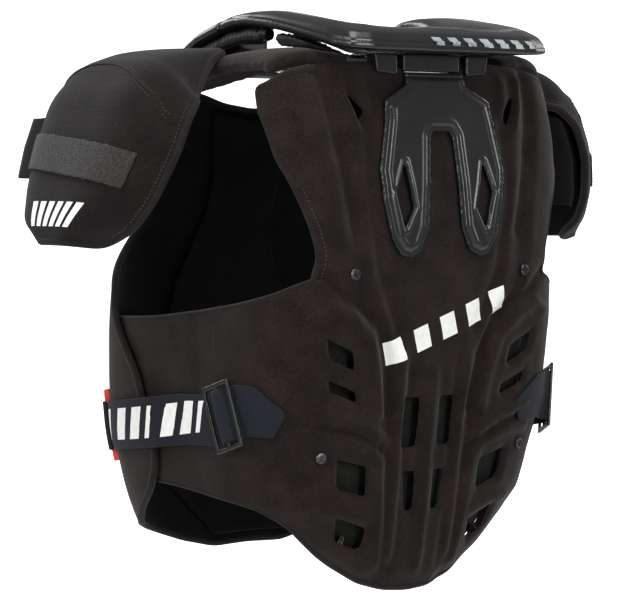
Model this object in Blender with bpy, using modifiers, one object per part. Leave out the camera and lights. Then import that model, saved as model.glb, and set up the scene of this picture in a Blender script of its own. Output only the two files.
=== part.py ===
"""Roost deflector with a fused neck brace. Front is -Y, rear +Y, the wearer's left +X, metres."""
import bpy
import bmesh
from math import atan2, copysign, cos, pi, radians, sin, tan
from mathutils import Matrix, Vector

# driving sizes
CHEST_HALF = 0.152      # half width of the vest
BACK_REACH = 0.120      # from the vest's axis to its rear surface
FRONT_REACH = 0.155     # from the vest's axis to its front surface
DROP = 0.415            # from the shoulder seat down to the hem
AXIS_Y = -0.005
PAD_THICK = 0.008       # moulded back panel
WING_THICK = 0.003      # side wing cloth
FRONT_THICK = 0.005
NET_THICK = 0.0015
YOKE_THICK = 0.008
CAP_THICK = 0.006
CUP_THICK = 0.003
WEB_WIDTH = 0.040       # side strap
WEB_THICK = 0.0016
TAPE_THICK = 0.002
SCREW_RADIUS = 0.0045
BRACE_HALF = 0.108
BRACE_REAR = BACK_REACH + 0.018     # the table's rear lip overhangs the back panel
BRACE_FRONT = 0.125
NECK_HALF = 0.064
LIP_THICK = 0.005
PLATE_THICK = 0.004     # thoracic plate
STAND_OFF = 0.0015      # plate above the back panel

for old in list(bpy.data.objects):
    bpy.data.objects.remove(old, do_unlink=True)
parts = bpy.data.collections.new("roost_deflector")
tools = bpy.data.collections.new("cutters")
bpy.context.scene.collection.children.link(parts)
bpy.context.scene.collection.children.link(tools)


def material(name, color, rough, metal=0.0):
    mat = bpy.data.materials.new(name)
    mat.use_nodes = True
    shader = mat.node_tree.nodes["Principled BSDF"]
    shader.inputs["Base Color"].default_value = (*color, 1.0)
    shader.inputs["Roughness"].default_value = rough
    shader.inputs["Metallic"].default_value = metal
    return mat


CLOTH = material("shell_cloth", (0.024, 0.018, 0.016), 0.85)
LINING = material("lining_cloth", (0.012, 0.012, 0.013), 0.9)
NET = material("net", (0.016, 0.016, 0.016), 0.8)
PERFORATED = material("cap_cloth", (0.022, 0.018, 0.017), 0.85)
TAPE = material("hook_tape", (0.02, 0.02, 0.02), 0.95)
PLASTIC = material("black_plastic", (0.018, 0.019, 0.018), 0.32)
RUBBER = material("boot_rubber", (0.02, 0.02, 0.02), 0.5)
WEBBING = material("webbing", (0.012, 0.014, 0.022), 0.7)
RED = material("red_plastic", (0.72, 0.05, 0.03), 0.4)
STEEL = material("dark_steel", (0.05, 0.05, 0.05), 0.3, 1.0)


def look_up(rows, at):
    """Smooth reading of a table whose first column rises."""
    if at <= rows[0][0]:
        return rows[0][1:]
    for lower, upper in zip(rows, rows[1:]):
        if at <= upper[0]:
            t = (at - lower[0]) / (upper[0] - lower[0])
            return tuple(p + (q - p) * t for p, q in zip(lower[1:], upper[1:]))
    return rows[-1][1:]


# share of DROP, then shares of CHEST_HALF, BACK_REACH, FRONT_REACH, then rear and front exponents
TORSO = (
    (-0.072, 0.90, 0.72, 0.60, 3.2, 3.0),
    (0.000, 0.995, 0.86, 0.72, 4.4, 3.0),
    (0.096, 1.01, 0.94, 0.83, 5.2, 3.4),
    (0.217, 1.01, 0.985, 0.92, 5.5, 3.8),
    (0.361, 0.99, 1.00, 1.07, 4.6, 4.0),
    (0.494, 1.01, 0.96, 1.10, 4.8, 4.0),
    (0.627, 1.01, 0.89, 1.10, 4.5, 4.0),
    (0.723, 0.99, 0.85, 1.08, 3.7, 4.0),
    (0.843, 0.935, 0.80, 1.02, 3.0, 3.8),
    (0.964, 0.87, 0.74, 0.85, 2.6, 3.5),
    (1.036, 0.83, 0.70, 0.79, 2.6, 3.4),
)
# half width of the back panel's tail: share of DROP, share of CHEST_HALF
TAIL_HALF = ((0.80, 1.0), (0.85, 0.88), (0.887, 0.79), (0.928, 0.70), (0.973, 0.56), (1.0, 0.48))
# edge of the back panel beside the armhole: share of DROP, share of CHEST_HALF
BACK_EDGE = (
    (-0.03, 0.90), (0.02, 0.965), (0.08, 0.97), (0.17, 0.94), (0.23, 0.88), (0.29, 0.815),
    (0.345, 0.77), (0.385, 0.785), (0.45, 0.81), (0.60, 0.80), (0.80, 0.77), (0.85, 0.75), (0.887, 0.70),
    (0.928, 0.61), (0.973, 0.47), (1.0, 0.40),
)
# edge of the front panel: share of DROP, degrees forward of the wearer's left
FRONT_EDGE = (
    (-0.03, 30), (0.04, 34), (0.10, 42), (0.20, 54), (0.278, 57), (0.348, 52), (0.391, 47), (0.42, 42),
    (0.468, 40), (0.50, 36), (0.55, 30), (0.594, 25), (0.70, 20), (0.75, 19), (0.815, 25), (0.884, 38), (0.93, 50),
)
# heights by column: 0 at the centre, 1 at the panel's edge, 2 at the wing's front end
HEM = (
    (0.0, 0.993), (0.40, 0.988), (0.67, 0.973), (0.85, 0.930), (0.93, 0.892), (1.0, 0.862),
    (1.08, 0.838), (1.153, 0.820), (1.347, 0.807), (1.52, 0.797), (2.0, 0.79),
)
SPLIT = (
    (0.0, 0.392), (1.0, 0.392), (1.04, 0.402), (1.08, 0.420), (1.21, 0.443), (1.39, 0.460), (1.62, 0.477),
    (2.0, 0.490),
)
BACK_TOP = (
    (0.0, 0.016), (0.19, 0.016), (0.25, -0.002), (0.31, -0.004), (0.60, -0.004), (0.80, 0.004), (0.92, 0.016),
    (1.0, 0.040),
)
FRONT_TOP = ((0.0, 0.07), (0.30, 0.060), (0.50, 0.042), (0.62, 0.036), (0.88, 0.036), (1.0, 0.060))
FRONT_HEM = ((0.0, 0.955), (0.40, 0.958), (0.70, 0.940), (0.85, 0.920), (1.0, 0.885))
WING_END = radians(-58)


def section(z):
    half, rear, front, rear_power, front_power = look_up(TORSO, -z / DROP)
    return half * CHEST_HALF, rear * BACK_REACH, front * FRONT_REACH, rear_power, front_power


def rear_half(z):
    """Half width behind the axis: the back panel's tail narrows towards its hem."""
    return min(section(z)[0], look_up(TAIL_HALF, -z / DROP)[0] * CHEST_HALF)


def torso(angle, z, out=0.0):
    """Point of the vest's surface at an angle from the wearer's left, moved out along its normal."""
    half, rear, front, rear_power, front_power = section(z)
    half = rear_half(z) if sin(angle) >= 0 else half
    reach = rear - AXIS_Y if sin(angle) >= 0 else front + AXIS_Y
    power = rear_power if sin(angle) >= 0 else front_power
    c, s = cos(angle), sin(angle)
    r = (abs(c / half) ** power + abs(s / reach) ** power) ** (-1 / power)
    x, y = r * c, r * s
    normal = Vector((copysign(abs(x / half) ** (power - 1) / half, x),
                     copysign(abs(y / reach) ** (power - 1) / reach, y), 0)).normalized()
    return Vector((x, y + AXIS_Y, z)) + normal * out


def angle_at(x, z, rear=True):
    half, back, front, rear_power, front_power = section(z)
    half = rear_half(z) if rear else half
    power = rear_power if rear else front_power
    reach = back - AXIS_Y if rear else front + AXIS_Y
    y = reach * max(1e-6, 1 - abs(x / half) ** power) ** (1 / power)
    return atan2(y if rear else -y, x)


def back_at(x, z, out=0.0):
    return torso(angle_at(x, z), z, out)


def link(name, mesh, mat, where=parts):
    obj = bpy.data.objects.new(name, mesh)
    where.objects.link(obj)
    if mat:
        mesh.materials.append(mat)
    return obj


def bake(obj):
    """Replaces the object's mesh by its evaluated form."""
    depsgraph = bpy.context.evaluated_depsgraph_get()
    mesh = bpy.data.meshes.new_from_object(obj.evaluated_get(depsgraph))
    obj.modifiers.clear()
    obj.data = mesh
    return obj


def solid_of(name, curve, mat, where=parts):
    """The closed mesh of a curve with its own thickness."""
    source = bpy.data.objects.new(name + "_curve", curve)
    where.objects.link(source)
    depsgraph = bpy.context.evaluated_depsgraph_get()
    mesh = bpy.data.meshes.new_from_object(source.evaluated_get(depsgraph))
    bpy.data.objects.remove(source, do_unlink=True)
    bm = bmesh.new()
    bm.from_mesh(mesh)
    bmesh.ops.remove_doubles(bm, verts=bm.verts, dist=1e-6)
    bmesh.ops.recalc_face_normals(bm, faces=bm.faces)
    bm.to_mesh(mesh)
    bm.free()
    mesh.materials.clear()
    return link(name, mesh, mat, where)


def sheet(name, columns, rows, place, thickness, mat, keep=None, weight=None, thin=1.0):
    """A grid laid on a surface, its normals inwards, and thickened that way; keep drops faces."""
    bm = bmesh.new()
    bmesh.ops.create_grid(bm, x_segments=columns, y_segments=rows, size=0.5)
    if keep:
        gone = [f for f in bm.faces if not keep(*[(v + 0.5) * n for v, n in
                zip(f.calc_center_median()[:2], (columns, rows))])]
        bmesh.ops.delete(bm, geom=gone, context="FACES")
    weights = []
    for vert in bm.verts:
        u, v = vert.co.x + 0.5, vert.co.y + 0.5
        weights.append(weight(u, v) if weight else 1.0)
        vert.co = place(u, v)
    mesh = bpy.data.meshes.new(name)
    bm.normal_update()
    bm.to_mesh(mesh)
    bm.free()
    obj = link(name, mesh, mat)
    solid = obj.modifiers.new("thickness", "SOLIDIFY")
    solid.thickness = thickness
    solid.offset = 1.0
    solid.use_even_offset = False
    if weight:
        group = obj.vertex_groups.new(name="pad")
        for index, value in enumerate(weights):
            group.add([index], value, "REPLACE")
        solid.vertex_group = "pad"
        solid.thickness_vertex_group = thin
    return bake(obj)


def prism(name, outline, depth, where=tools, mat=None, turn=None):
    """A polygon in the local XZ plane, extruded both ways along Y."""
    curve = bpy.data.curves.new(name, "CURVE")
    curve.dimensions = "2D"
    curve.fill_mode = "BOTH"
    curve.extrude = depth / 2
    spline = curve.splines.new("POLY")
    spline.points.add(len(outline) - 1)
    for point, (x, z) in zip(spline.points, outline):
        point.co = (x, z, 0, 1)
    spline.use_cyclic_u = True
    obj = solid_of(name, curve, mat, where)
    obj.data.transform((turn or Matrix()) @ Matrix.Rotation(pi / 2, 4, "X"))
    if where is tools:
        obj.hide_render = True
        obj.display_type = "WIRE"
    return obj


def cut(obj, cutters, operation="DIFFERENCE"):
    for cutter in cutters:
        boolean = obj.modifiers.new("cut", "BOOLEAN")
        boolean.object = cutter
        boolean.operation = operation
        boolean.solver = "EXACT"
    return bake(obj)


def mirrored(source, name):
    mesh = source.data.copy()
    mesh.transform(Matrix.Scale(-1, 4, (1, 0, 0)))
    mesh.flip_normals()
    return link(name, mesh, None)


# back shell
BACK_COLUMNS = 12
WING_COLUMNS = 9
LOWER_ROWS = 11
UPPER_ROWS = 11


def back_height(column, level):
    """Height of a row: level 0 at the hem, 1 at the wing's top edge, 2 at the shoulder."""
    hem, split, top = look_up(HEM, column)[0], look_up(SPLIT, column)[0], look_up(BACK_TOP, column)[0]
    share = hem + (split - hem) * level if level <= 1 else split + (top - split) * (level - 1)
    return -share * DROP


# a moulded groove runs from each shoulder to the hem: share of DROP, share of CHEST_HALF, depth
GROOVE = (
    (-0.02, 0.70, 0.002), (0.31, 0.56, 0.002), (0.40, 0.54, 0.003), (0.46, 0.47, 0.004), (0.52, 0.37, 0.004),
    (0.66, 0.28, 0.004), (0.98, 0.23, 0.003),
)
GROOVE_HALF = 0.035
GROOVE_COLUMN = 5
HEM_LEVELS = (0.0, 0.045, 0.11)
HEM_TUCK = (0.008, 0.003, 0.001)


def back_point(column, level, out=0.0):
    """Outer point: column 0 centre, 1 the panel's edge, 2 the wing's end; level as in back_height."""
    z = back_height(column, level)
    share = -z / DROP
    edge = look_up(BACK_EDGE, share)[0] * CHEST_HALF
    if column > 1:
        start = angle_at(edge, z)
        return torso(start + (WING_END - start) * (column - 1), z, out)
    middle, depth = look_up(GROOVE, share)
    knot = GROOVE_COLUMN / BACK_COLUMNS
    step = 1 / BACK_COLUMNS
    x = look_up(((0.0, 0.0), (knot - step, middle - GROOVE_HALF), (knot, middle), (knot + step, middle + GROOVE_HALF),
                 (1.0, edge / CHEST_HALF)), column)[0] * CHEST_HALF
    dip = depth * max(0.0, 1 - abs(column - knot) / step)
    tuck = look_up(tuple(zip(HEM_LEVELS, HEM_TUCK)) + ((0.2, 0.0),), level)[0] * min(1.0, (1.0 - column) * 5)
    return back_at(x, z, out - dip) - Vector((0, tuck, 0))


def back_place(u, v):
    columns = BACK_COLUMNS + WING_COLUMNS
    index = round((u - 0.5) * 2 * columns)
    column = abs(index) / BACK_COLUMNS if abs(index) <= BACK_COLUMNS else \
        1 + (abs(index) - BACK_COLUMNS) / WING_COLUMNS
    row = round(v * (LOWER_ROWS + UPPER_ROWS))
    first = len(HEM_LEVELS) - 1
    if row <= first:
        level = HEM_LEVELS[row]
    elif row <= LOWER_ROWS:
        level = HEM_LEVELS[-1] + (1 - HEM_LEVELS[-1]) * (row - first) / (LOWER_ROWS - first)
    else:
        level = 1 + (row - LOWER_ROWS) / UPPER_ROWS
    point = back_point(column, level)
    return Vector((copysign(point.x, index) if index else 0, point.y, point.z))


def back_keep(column, row):
    return abs(column - BACK_COLUMNS - WING_COLUMNS) < BACK_COLUMNS or row < LOWER_ROWS


def back_weight(u, v):
    column = abs(u - 0.5) * 2 * (BACK_COLUMNS + WING_COLUMNS) / BACK_COLUMNS
    return min(1.0, max(0.0, (1.05 - column) / 0.15))


back = sheet("back_shell", 2 * (BACK_COLUMNS + WING_COLUMNS), LOWER_ROWS + UPPER_ROWS, back_place, PAD_THICK,
             CLOTH, back_keep, back_weight, WING_THICK / PAD_THICK)

# windows and slots on the left, corners as shares of CHEST_HALF and DROP
WINDOWS = (
    ((0.70, 0.503), (0.54, 0.530), (0.52, 0.566), (0.68, 0.540)),
    ((0.67, 0.582), (0.50, 0.606), (0.49, 0.626), (0.66, 0.603)),
    ((0.575, 0.733), (0.39, 0.750), (0.38, 0.808), (0.555, 0.790)),
    ((0.535, 0.846), (0.355, 0.870), (0.37, 0.914), (0.51, 0.894)),
    ((0.165, 0.622), (0.070, 0.622), (0.070, 0.718), (0.165, 0.718)),
    ((0.140, 0.765), (0.065, 0.765), (0.062, 0.842), (0.118, 0.842)),
    ((0.580, 0.038), (0.500, 0.105), (0.475, 0.080)),
)
holes = []
for side in (1, -1):
    for index, corners in enumerate(WINDOWS):
        outline = [(side * x * CHEST_HALF, -s * DROP) for x, s in corners]
        hole = prism(f"window_{side}_{index}", outline, 0.16)
        hole.data.transform(Matrix.Translation((0, BACK_REACH - 0.045, 0)))
        holes.append(hole)
cut(back, holes)


def net_place(u, v):
    side = 2 * u - 1
    point = back_point(abs(side) * 0.88, 0.03 + 1.87 * v, -PAD_THICK - 0.0042)
    return Vector((copysign(point.x, side), point.y, point.z))


sheet("back_mesh", 12, 12, net_place, NET_THICK, NET)

# front
FRONT_OUT = FRONT_THICK + 0.0028


def front_point(column, level, out=FRONT_OUT):
    """Outer point: column 0 centre, 1 and -1 the panel's edges; level 0 hem, 1 top."""
    hem, top = look_up(FRONT_HEM, abs(column))[0], look_up(FRONT_TOP, abs(column))[0]
    share = hem + (top - hem) * level
    edge = radians(90 - look_up(FRONT_EDGE, share)[0])
    return torso(edge * column - pi / 2, -share * DROP, out)


def front_place(u, v):
    return front_point(1 - 2 * u, v)


sheet("front_shell", 18, 14, front_place, FRONT_THICK, CLOTH)


def lining_place(u, v):
    return front_point(0.40 - 0.80 * u, 0.02 + 0.96 * v, -0.0002)


sheet("front_liner", 8, 10, lining_place, NET_THICK, LINING)


# shoulder yokes
YOKE_COLUMNS = ((0.0, 0.26), (0.35, 0.42), (1.0, 0.94))
# share of the way forwards, rise above the ends in metres
YOKE_LINE = (
    (0.0, 0.0), (0.003, 0.005), (0.022, 0.0095), (0.07, 0.013), (0.16, 0.0155), (0.30, 0.018), (0.45, 0.019),
    (0.60, 0.017), (0.74, 0.014), (0.86, 0.011), (0.945, 0.0085), (0.996, 0.005), (1.0, 0.0),
)
YOKE_RISE = ((0.0, 0.76), (0.35, 1.0), (1.0, 0.85))


def yoke_place(u, v):
    """u from the neck side outwards, v from the rear forwards."""
    rear = back_point(look_up(YOKE_COLUMNS, u)[0], 2) + Vector((0, 0, 0.0015))
    front = front_point(0.52 + 0.42 * u, 1) + Vector((0, 0, 0.0020))
    along, rise = YOKE_LINE[round(v * (len(YOKE_LINE) - 1))]
    return rear.lerp(front, along) + Vector((0, 0, rise * look_up(YOKE_RISE, u)[0]))


yoke = sheet("yoke_left", 6, len(YOKE_LINE) - 1, yoke_place, YOKE_THICK, CLOTH)
mirrored(yoke, "yoke_right")


# shoulder caps
# x, z of the middle line, y of the middle, half length front to rear
CAP = (
    (0.0, 0.116, 0.0185, -0.020, 0.012),
    (0.05, 0.134, 0.0185, -0.034, 0.030),
    (0.10, 0.155, 0.0175, -0.036, 0.052),
    (0.14, 0.180, 0.016, -0.034, 0.066),
    (0.28, 0.209, 0.006, -0.031, 0.083),
    (0.42, 0.233, -0.020, -0.029, 0.089),
    (0.57, 0.2475, -0.055, -0.0285, 0.0885),
    (0.72, 0.2590, -0.089, -0.032, 0.080),
    (0.87, 0.2685, -0.117, -0.036, 0.062),
    (1.0, 0.271, -0.136, -0.031, 0.031),
)
CURL_FRONT = 0.024
CURL_REAR = 0.038
CURL_START = ((0.0, 0.05), (0.05, 0.15), (0.10, 0.5), (0.14, 1.0))
CAP_ROWS = (1.0, 0.935, 0.87, 0.72, 0.57, 0.42, 0.28, 0.21, 0.14, 0.10, 0.05, 0.0)
CURL = ((0.0, 0.0), (0.2, 0.001), (0.4, 0.016), (0.6, 0.10), (0.8, 0.37), (1.0, 1.0))
TAPE_STOPS = (0.8, 0.7, 0.6, 0.4, 0.2, 0.0, -0.2, -0.4, -0.6, -0.8)
CUP_STOPS = (0.8, 0.6, 0.4, 0.2, 0.0, -0.2, -0.4, -0.6, -0.8)


def cap_point(q, p, out=0.0):
    """q from the shoulder to the tip, p from the front edge (-1) to the rear edge (1)."""
    x, z, middle, half = look_up(CAP, q)
    ahead, behind = look_up(CAP, min(1, q + 0.07)), look_up(CAP, max(0, q - 0.07))
    normal = Vector((behind[1] - ahead[1], 0, ahead[0] - behind[0])).normalized()
    curl = (CURL_REAR if p > 0 else CURL_FRONT) * look_up(CURL, abs(p))[0] * look_up(CURL_START, q)[0]
    return Vector((x, middle + half * p, z)) + normal * (out - curl)


def cap_place(u, v):
    return cap_point(CAP_ROWS[round(v * (len(CAP_ROWS) - 1))], 1 - 2 * u)


cap = sheet("cap_left", 10, len(CAP_ROWS) - 1, cap_place, CAP_THICK, PERFORATED)
mirrored(cap, "cap_right")


def cup_place(u, v):
    return cap_point(0.79 - 0.37 * v, CUP_STOPS[round(u * 8)], -CAP_THICK - 0.011)


cup = sheet("cup_left", 8, 6, cup_place, CUP_THICK, LINING)
mirrored(cup, "cup_right")


def tape_place(u, v):
    p = TAPE_STOPS[round(u * 9)]
    return cap_point(0.69 + 0.038 * p - 0.12 * v, p, TAPE_THICK + 0.0012)


tape = sheet("cap_tape_left", 9, 3, tape_place, TAPE_THICK, TAPE)
mirrored(tape, "cap_tape_right")


def loop_place(u, v):
    """A band folded round ahead of the cap's front edge."""
    edge = cap_point(0.67 - 0.23 * v, -1.0)
    turn = pi * u
    return edge + Vector((0.010 * cos(turn) - 0.0125, 0.0002 - 0.022 * sin(turn) ** 0.8, 0))


loop = sheet("arm_loop_left", 10, 2, loop_place, 0.0025, WEBBING)
mirrored(loop, "arm_loop_right")

# side straps
STRAP_END = radians(-47)
FRAME_THICK = 0.0024
FRAME_BASE = WEB_THICK + 0.0044
SLIDER_HALF = 0.016
SLIDER_LEAN = radians(18)
BAR = 0.0035
STRAP_SHARES = (-1.6, -1.0, -0.70, -0.25, 0.25, 0.70, 1.0, 1.6)


def strap_height(angle):
    return -DROP * look_up(((-0.9, 0.708), (0.1, 0.657), (0.6, 0.642)), angle)[0]


# shift of the strap's middle line beside the leaning slider, in half sliders
STRAP_DRIFT = ((-4.0, 0.0), (-1.0, -1.0), (1.0, 1.0), (3.0, 0.0))


def strap_out(along, angle, slack):
    """Height of the strap's outer face: over the slider's middle bar, then over the front panel's edge."""
    low = WEB_THICK + 0.0014
    over = look_up(((0.25, FRAME_BASE + FRAME_THICK + WEB_THICK + slack), (0.68, low)), abs(along))[0]
    step = look_up(((-0.30, FRONT_OUT + WEB_THICK + 0.0015), (-0.14, low)), angle)[0]
    return max(over, step)


def side_strap(name, start, seat, slack):
    """The left strap from its sewn point to the clip, threaded through a slider at the seat angle."""
    z = strap_height(seat)
    arc = (torso(seat + 0.05, z) - torso(seat - 0.05, z)).length / 0.1
    drift = SLIDER_HALF * tan(SLIDER_LEAN) - strap_height(seat + SLIDER_HALF / arc) + z
    first = seat - STRAP_SHARES[0] * SLIDER_HALF / arc
    stops = [start, start - 0.045] + [start - 0.10 + (first - start + 0.10) * k / 2 for k in range(2)]
    stops += [seat - share * SLIDER_HALF / arc for share in STRAP_SHARES]
    tail = stops[-1]
    stops += [tail + (STRAP_END - tail) * k / 9 for k in range(1, 10)]

    def place(u, v):
        angle = stops[round(u * (len(stops) - 1))]
        narrow = max(0.0, 1 - (start - angle) / 0.10)
        across = (v - 0.5) * WEB_WIDTH * (1 - 0.9 * narrow)
        lean = look_up(((STRAP_END, 0.0), (seat - 0.3, SLIDER_LEAN)), angle)[0]
        along = (angle - seat) * arc / SLIDER_HALF
        middle = strap_height(angle) + drift * look_up(STRAP_DRIFT, along)[0]
        return torso(angle - across * tan(lean) / arc, middle + across, strap_out(along, angle, slack))

    return sheet(name, len(stops) - 1, 2, place, WEB_THICK, WEBBING)


def slider_seat(angle):
    """The matrix that carries the local XZ plane to the slider's seat on the wing."""
    z = strap_height(angle)
    ahead = (torso(angle - 0.05, z) - torso(angle + 0.05, z)).normalized()
    normal = (torso(angle, z + 0.02) - torso(angle, z - 0.02)).cross(ahead).normalized()
    axes = Matrix((ahead, normal, ahead.cross(normal))).transposed().to_4x4()
    seat = torso(angle, z) + normal * (FRAME_BASE + FRAME_THICK / 2)
    return Matrix.Translation(seat) @ Matrix.Rotation(SLIDER_LEAN, 4, normal) @ axes


def rectangle(half_x, half_z, x=0.0, z=0.0):
    return [(x - half_x, z - half_z), (x + half_x, z - half_z), (x + half_x, z + half_z), (x - half_x, z + half_z)]


def slider(name, angle):
    seat = slider_seat(angle)
    frame = prism(name, rectangle(SLIDER_HALF, WEB_WIDTH / 2 + 0.007), FRAME_THICK, parts, PLASTIC, seat)
    bay = (SLIDER_HALF - 1.5 * BAR) / 2
    bays = [prism(f"{name}_bay_{side}", rectangle(bay, WEB_WIDTH / 2 + 0.0035, side * (BAR / 2 + bay)), 0.02,
                  turn=seat) for side in (1, -1)]
    return cut(frame, bays)


def to_right(obj, name):
    mirrored(obj, name)
    bpy.data.objects.remove(obj, do_unlink=True)


# where each strap is sewn, where its slider sits, and its slack over the slider's bar
SEATS = {"left": (radians(35), radians(17), 0.0013), "right": (radians(50), radians(29), 0.0022)}
side_strap("side_strap_left", *SEATS["left"])
slider("slider_left", SEATS["left"][1])
to_right(side_strap("strap_source", *SEATS["right"]), "side_strap_right")
to_right(slider("slider_source", SEATS["right"][1]), "slider_right")


def clip_place(u, v):
    angle = STRAP_END - radians(0.5) - radians(3.6) * u
    z = strap_height(STRAP_END) + (v - 0.5) * (WEB_WIDTH + 0.020)
    return torso(angle, z, FRONT_OUT + 0.001 + 0.005)


clip = sheet("clip_left", 2, 2, clip_place, 0.005, RED)
mirrored(clip, "clip_right")

# screws
SCREWS = (("screw_upper", 0.575, 0.383), ("screw_lower", 0.675, 0.728))
for name, x_share, share in SCREWS:
    x, z = x_share * CHEST_HALF, -share * DROP
    base = back_at(x, z)
    normal = (back_at(x, z, 0.01) - back_at(x, z)).normalized()
    bm = bmesh.new()
    bmesh.ops.create_cone(bm, cap_ends=True, segments=12, radius1=SCREW_RADIUS, radius2=SCREW_RADIUS * 0.75,
                          depth=0.002)
    turn = normal.to_track_quat("Z", "Y").to_matrix().to_4x4()
    bmesh.ops.transform(bm, matrix=Matrix.Translation(base + normal * 0.0022) @ turn, verts=bm.verts)
    mesh = bpy.data.meshes.new(name)
    bm.to_mesh(mesh)
    bm.free()
    mirrored(link(name + "_left", mesh, STEEL), name + "_right")

# neck brace
# share along y: 1 rear, -1 front; heights of the lip and of the crest in metres above the seat
BRACE_HEIGHT = (
    (-1.0, 0.010, 0.016), (-0.86, 0.013, 0.020), (-0.52, 0.030, 0.036), (-0.20, 0.040, 0.046), (0.0, 0.042, 0.048),
    (0.24, 0.038, 0.048), (0.43, 0.033, 0.045), (0.67, 0.026, 0.041), (0.83, 0.021, 0.038), (1.0, 0.018, 0.034),
)
# closed section: share from the neck (0) to the lip (1), share from the lip (0) to the crest (1), fall
COLLAR = (
    (1.0, 0.0, 0.0), (0.94, 0.55, 0.0), (0.80, 0.95, 0.0), (0.45, 1.0, 0.0), (0.15, 0.9, 0.0), (0.0, 0.4, 0.0),
    (0.0, 0.0, LIP_THICK), (0.5, 0.0, LIP_THICK), (1.0, 0.0, LIP_THICK),
)


def oval(angle, half, rear, front, rear_power, front_power):
    c, s = cos(angle), sin(angle)
    reach, power = (rear, rear_power) if s >= 0 else (front, front_power)
    r = (abs(c / half) ** power + abs(s / reach) ** power) ** (-1 / power)
    return Vector((r * c, r * s, 0))


def brace_point(angle, share):
    inner = oval(angle, NECK_HALF, NECK_HALF, NECK_HALF, 2.2, 2.2)
    outer = oval(angle, BRACE_HALF, BRACE_REAR, BRACE_FRONT, 11.0, 5.0)
    return inner.lerp(outer, share)


def heights(angle):
    y = brace_point(angle, 1.0).y
    return look_up(BRACE_HEIGHT, y / (BRACE_REAR if y > 0 else BRACE_FRONT))


def ring(name, profile, start, stop, stations, mat):
    """Sweeps a closed section round the neck between two angles, with flat ends."""
    bm = bmesh.new()
    loops = []
    for index in range(stations + 1):
        angle = start + (stop - start) * index / stations
        loops.append([bm.verts.new(co) for co in profile(angle)])
    for first, second in zip(loops, loops[1:]):
        for k in range(len(first)):
            bm.faces.new((first[k - 1], first[k], second[k], second[k - 1]))
    bm.faces.new(loops[0])
    bm.faces.new(loops[-1])
    bmesh.ops.recalc_face_normals(bm, faces=bm.faces)
    mesh = bpy.data.meshes.new(name)
    bm.to_mesh(mesh)
    bm.free()
    return link(name, mesh, mat)


def collar(angle):
    lip, crest = heights(angle)
    return [brace_point(angle, share) + Vector((0, 0, lip + (crest - lip) * rise - fall))
            for share, rise, fall in COLLAR]


# depth of the padding: share along y
PAD_DEPTH = ((-1.0, 0.003), (-0.3, 0.006), (0.2, 0.010), (0.45, 0.007), (0.66, 0.003), (1.0, 0.003))


# how far the padding reaches out, by the sine of its angle: it stops ahead of the strut
PAD_SPREAD = ((-1.0, 0.90), (0.60, 0.90), (0.80, 0.30), (1.0, 0.30))


def padding(angle):
    y = brace_point(angle, 1.0).y
    reach = look_up(PAD_SPREAD, sin(angle))[0]
    top = heights(angle)[0] - LIP_THICK - 0.0028
    low = top - look_up(PAD_DEPTH, y / (BRACE_REAR if y > 0 else BRACE_FRONT))[0]
    return [brace_point(angle, share) + Vector((0, 0, z)) for share, z in
            ((0.04, top), (reach, top), (reach - 0.04, low), (0.10, low))]


SEAM = radians(-17)
ring("brace_table", collar, SEAM, pi - SEAM, 34, PLASTIC)
ring("brace_front", collar, pi - SEAM + 0.008, 2 * pi + SEAM - 0.008, 20, PLASTIC)
ring("table_pad", padding, radians(20), pi - radians(20), 18, RUBBER)
ring("front_pad", padding, pi - SEAM + radians(25), 2 * pi + SEAM - radians(25), 12, RUBBER)


def tube(name, path, radii, mat):
    """A round body along a path, its radius given at each point."""
    curve = bpy.data.curves.new(name, "CURVE")
    curve.dimensions = "3D"
    curve.bevel_depth = 1.0
    curve.bevel_resolution = 2
    curve.use_fill_caps = True
    spline = curve.splines.new("POLY")
    spline.points.add(len(path) - 1)
    for spot, point, radius in zip(spline.points, path, radii):
        spot.co = (*point, 1)
        spot.radius = radius
    return solid_of(name, curve, mat)


BOOT_RADIUS = 0.0055


def under_lip(share, drop=0.0):
    """A point below the lip of the left arm, at a share of the brace's length."""
    y = share * (BRACE_REAR if share > 0 else BRACE_FRONT)
    lip = look_up(BRACE_HEIGHT, share)[0]
    return Vector((BRACE_HALF * 0.90, y, lip - LIP_THICK - 0.0004 - BOOT_RADIUS - drop))


collar_path = [under_lip(0.16), under_lip(0.10)]
mirrored(tube("arm_collar_left", collar_path, [BOOT_RADIUS] * 2, PLASTIC), "arm_collar_right")
boot_path = [under_lip(s, 0.0020) for s in (0.097, 0.05, 0.0, -0.07, -0.09, -0.14, -0.22, -0.30, -0.32, -0.37,
                                            -0.45, -0.53)]
boot_radii = [BOOT_RADIUS * r for r in (0.82, 0.95, 1.0, 0.95, 0.82, 0.95, 1.0, 0.95, 0.82, 0.95, 0.95, 0.8)]
mirrored(tube("arm_boot_left", boot_path, boot_radii, RUBBER), "arm_boot_right")

# strut and thoracic plate
# half outline of the plate: shares of CHEST_HALF and DROP
PLATE = (
    (0.19, 0.006), (0.20, 0.028), (0.35, 0.058), (0.365, 0.095), (0.42, 0.190), (0.405, 0.245), (0.355, 0.318),
    (0.30, 0.348), (0.235, 0.354), (0.165, 0.342), (0.115, 0.300), (0.075, 0.128), (0.055, 0.116),
)
LEG_SLOT = ((0.265, 0.175), (0.325, 0.232), (0.275, 0.300), (0.215, 0.262))
PLATE_STOPS = (0.0, 0.096, 0.217, 0.361)
PLATE_ROWS = (0.39, 0.361, 0.325, 0.289, 0.253, 0.217, 0.187, 0.157, 0.127, 0.096, 0.060, 0.030, 0.0, -0.01)


def plate_y(x, z):
    """Rear reach of the plate's outer face: flat across the middle, falling away at the sides."""
    line = [(share, back_at(0, -share * DROP).y + STAND_OFF + PLATE_THICK) for share in PLATE_STOPS]
    return look_up(line, -z / DROP)[0] - 0.7 * max(0.0, abs(x) - 0.19 * CHEST_HALF) ** 2


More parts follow.
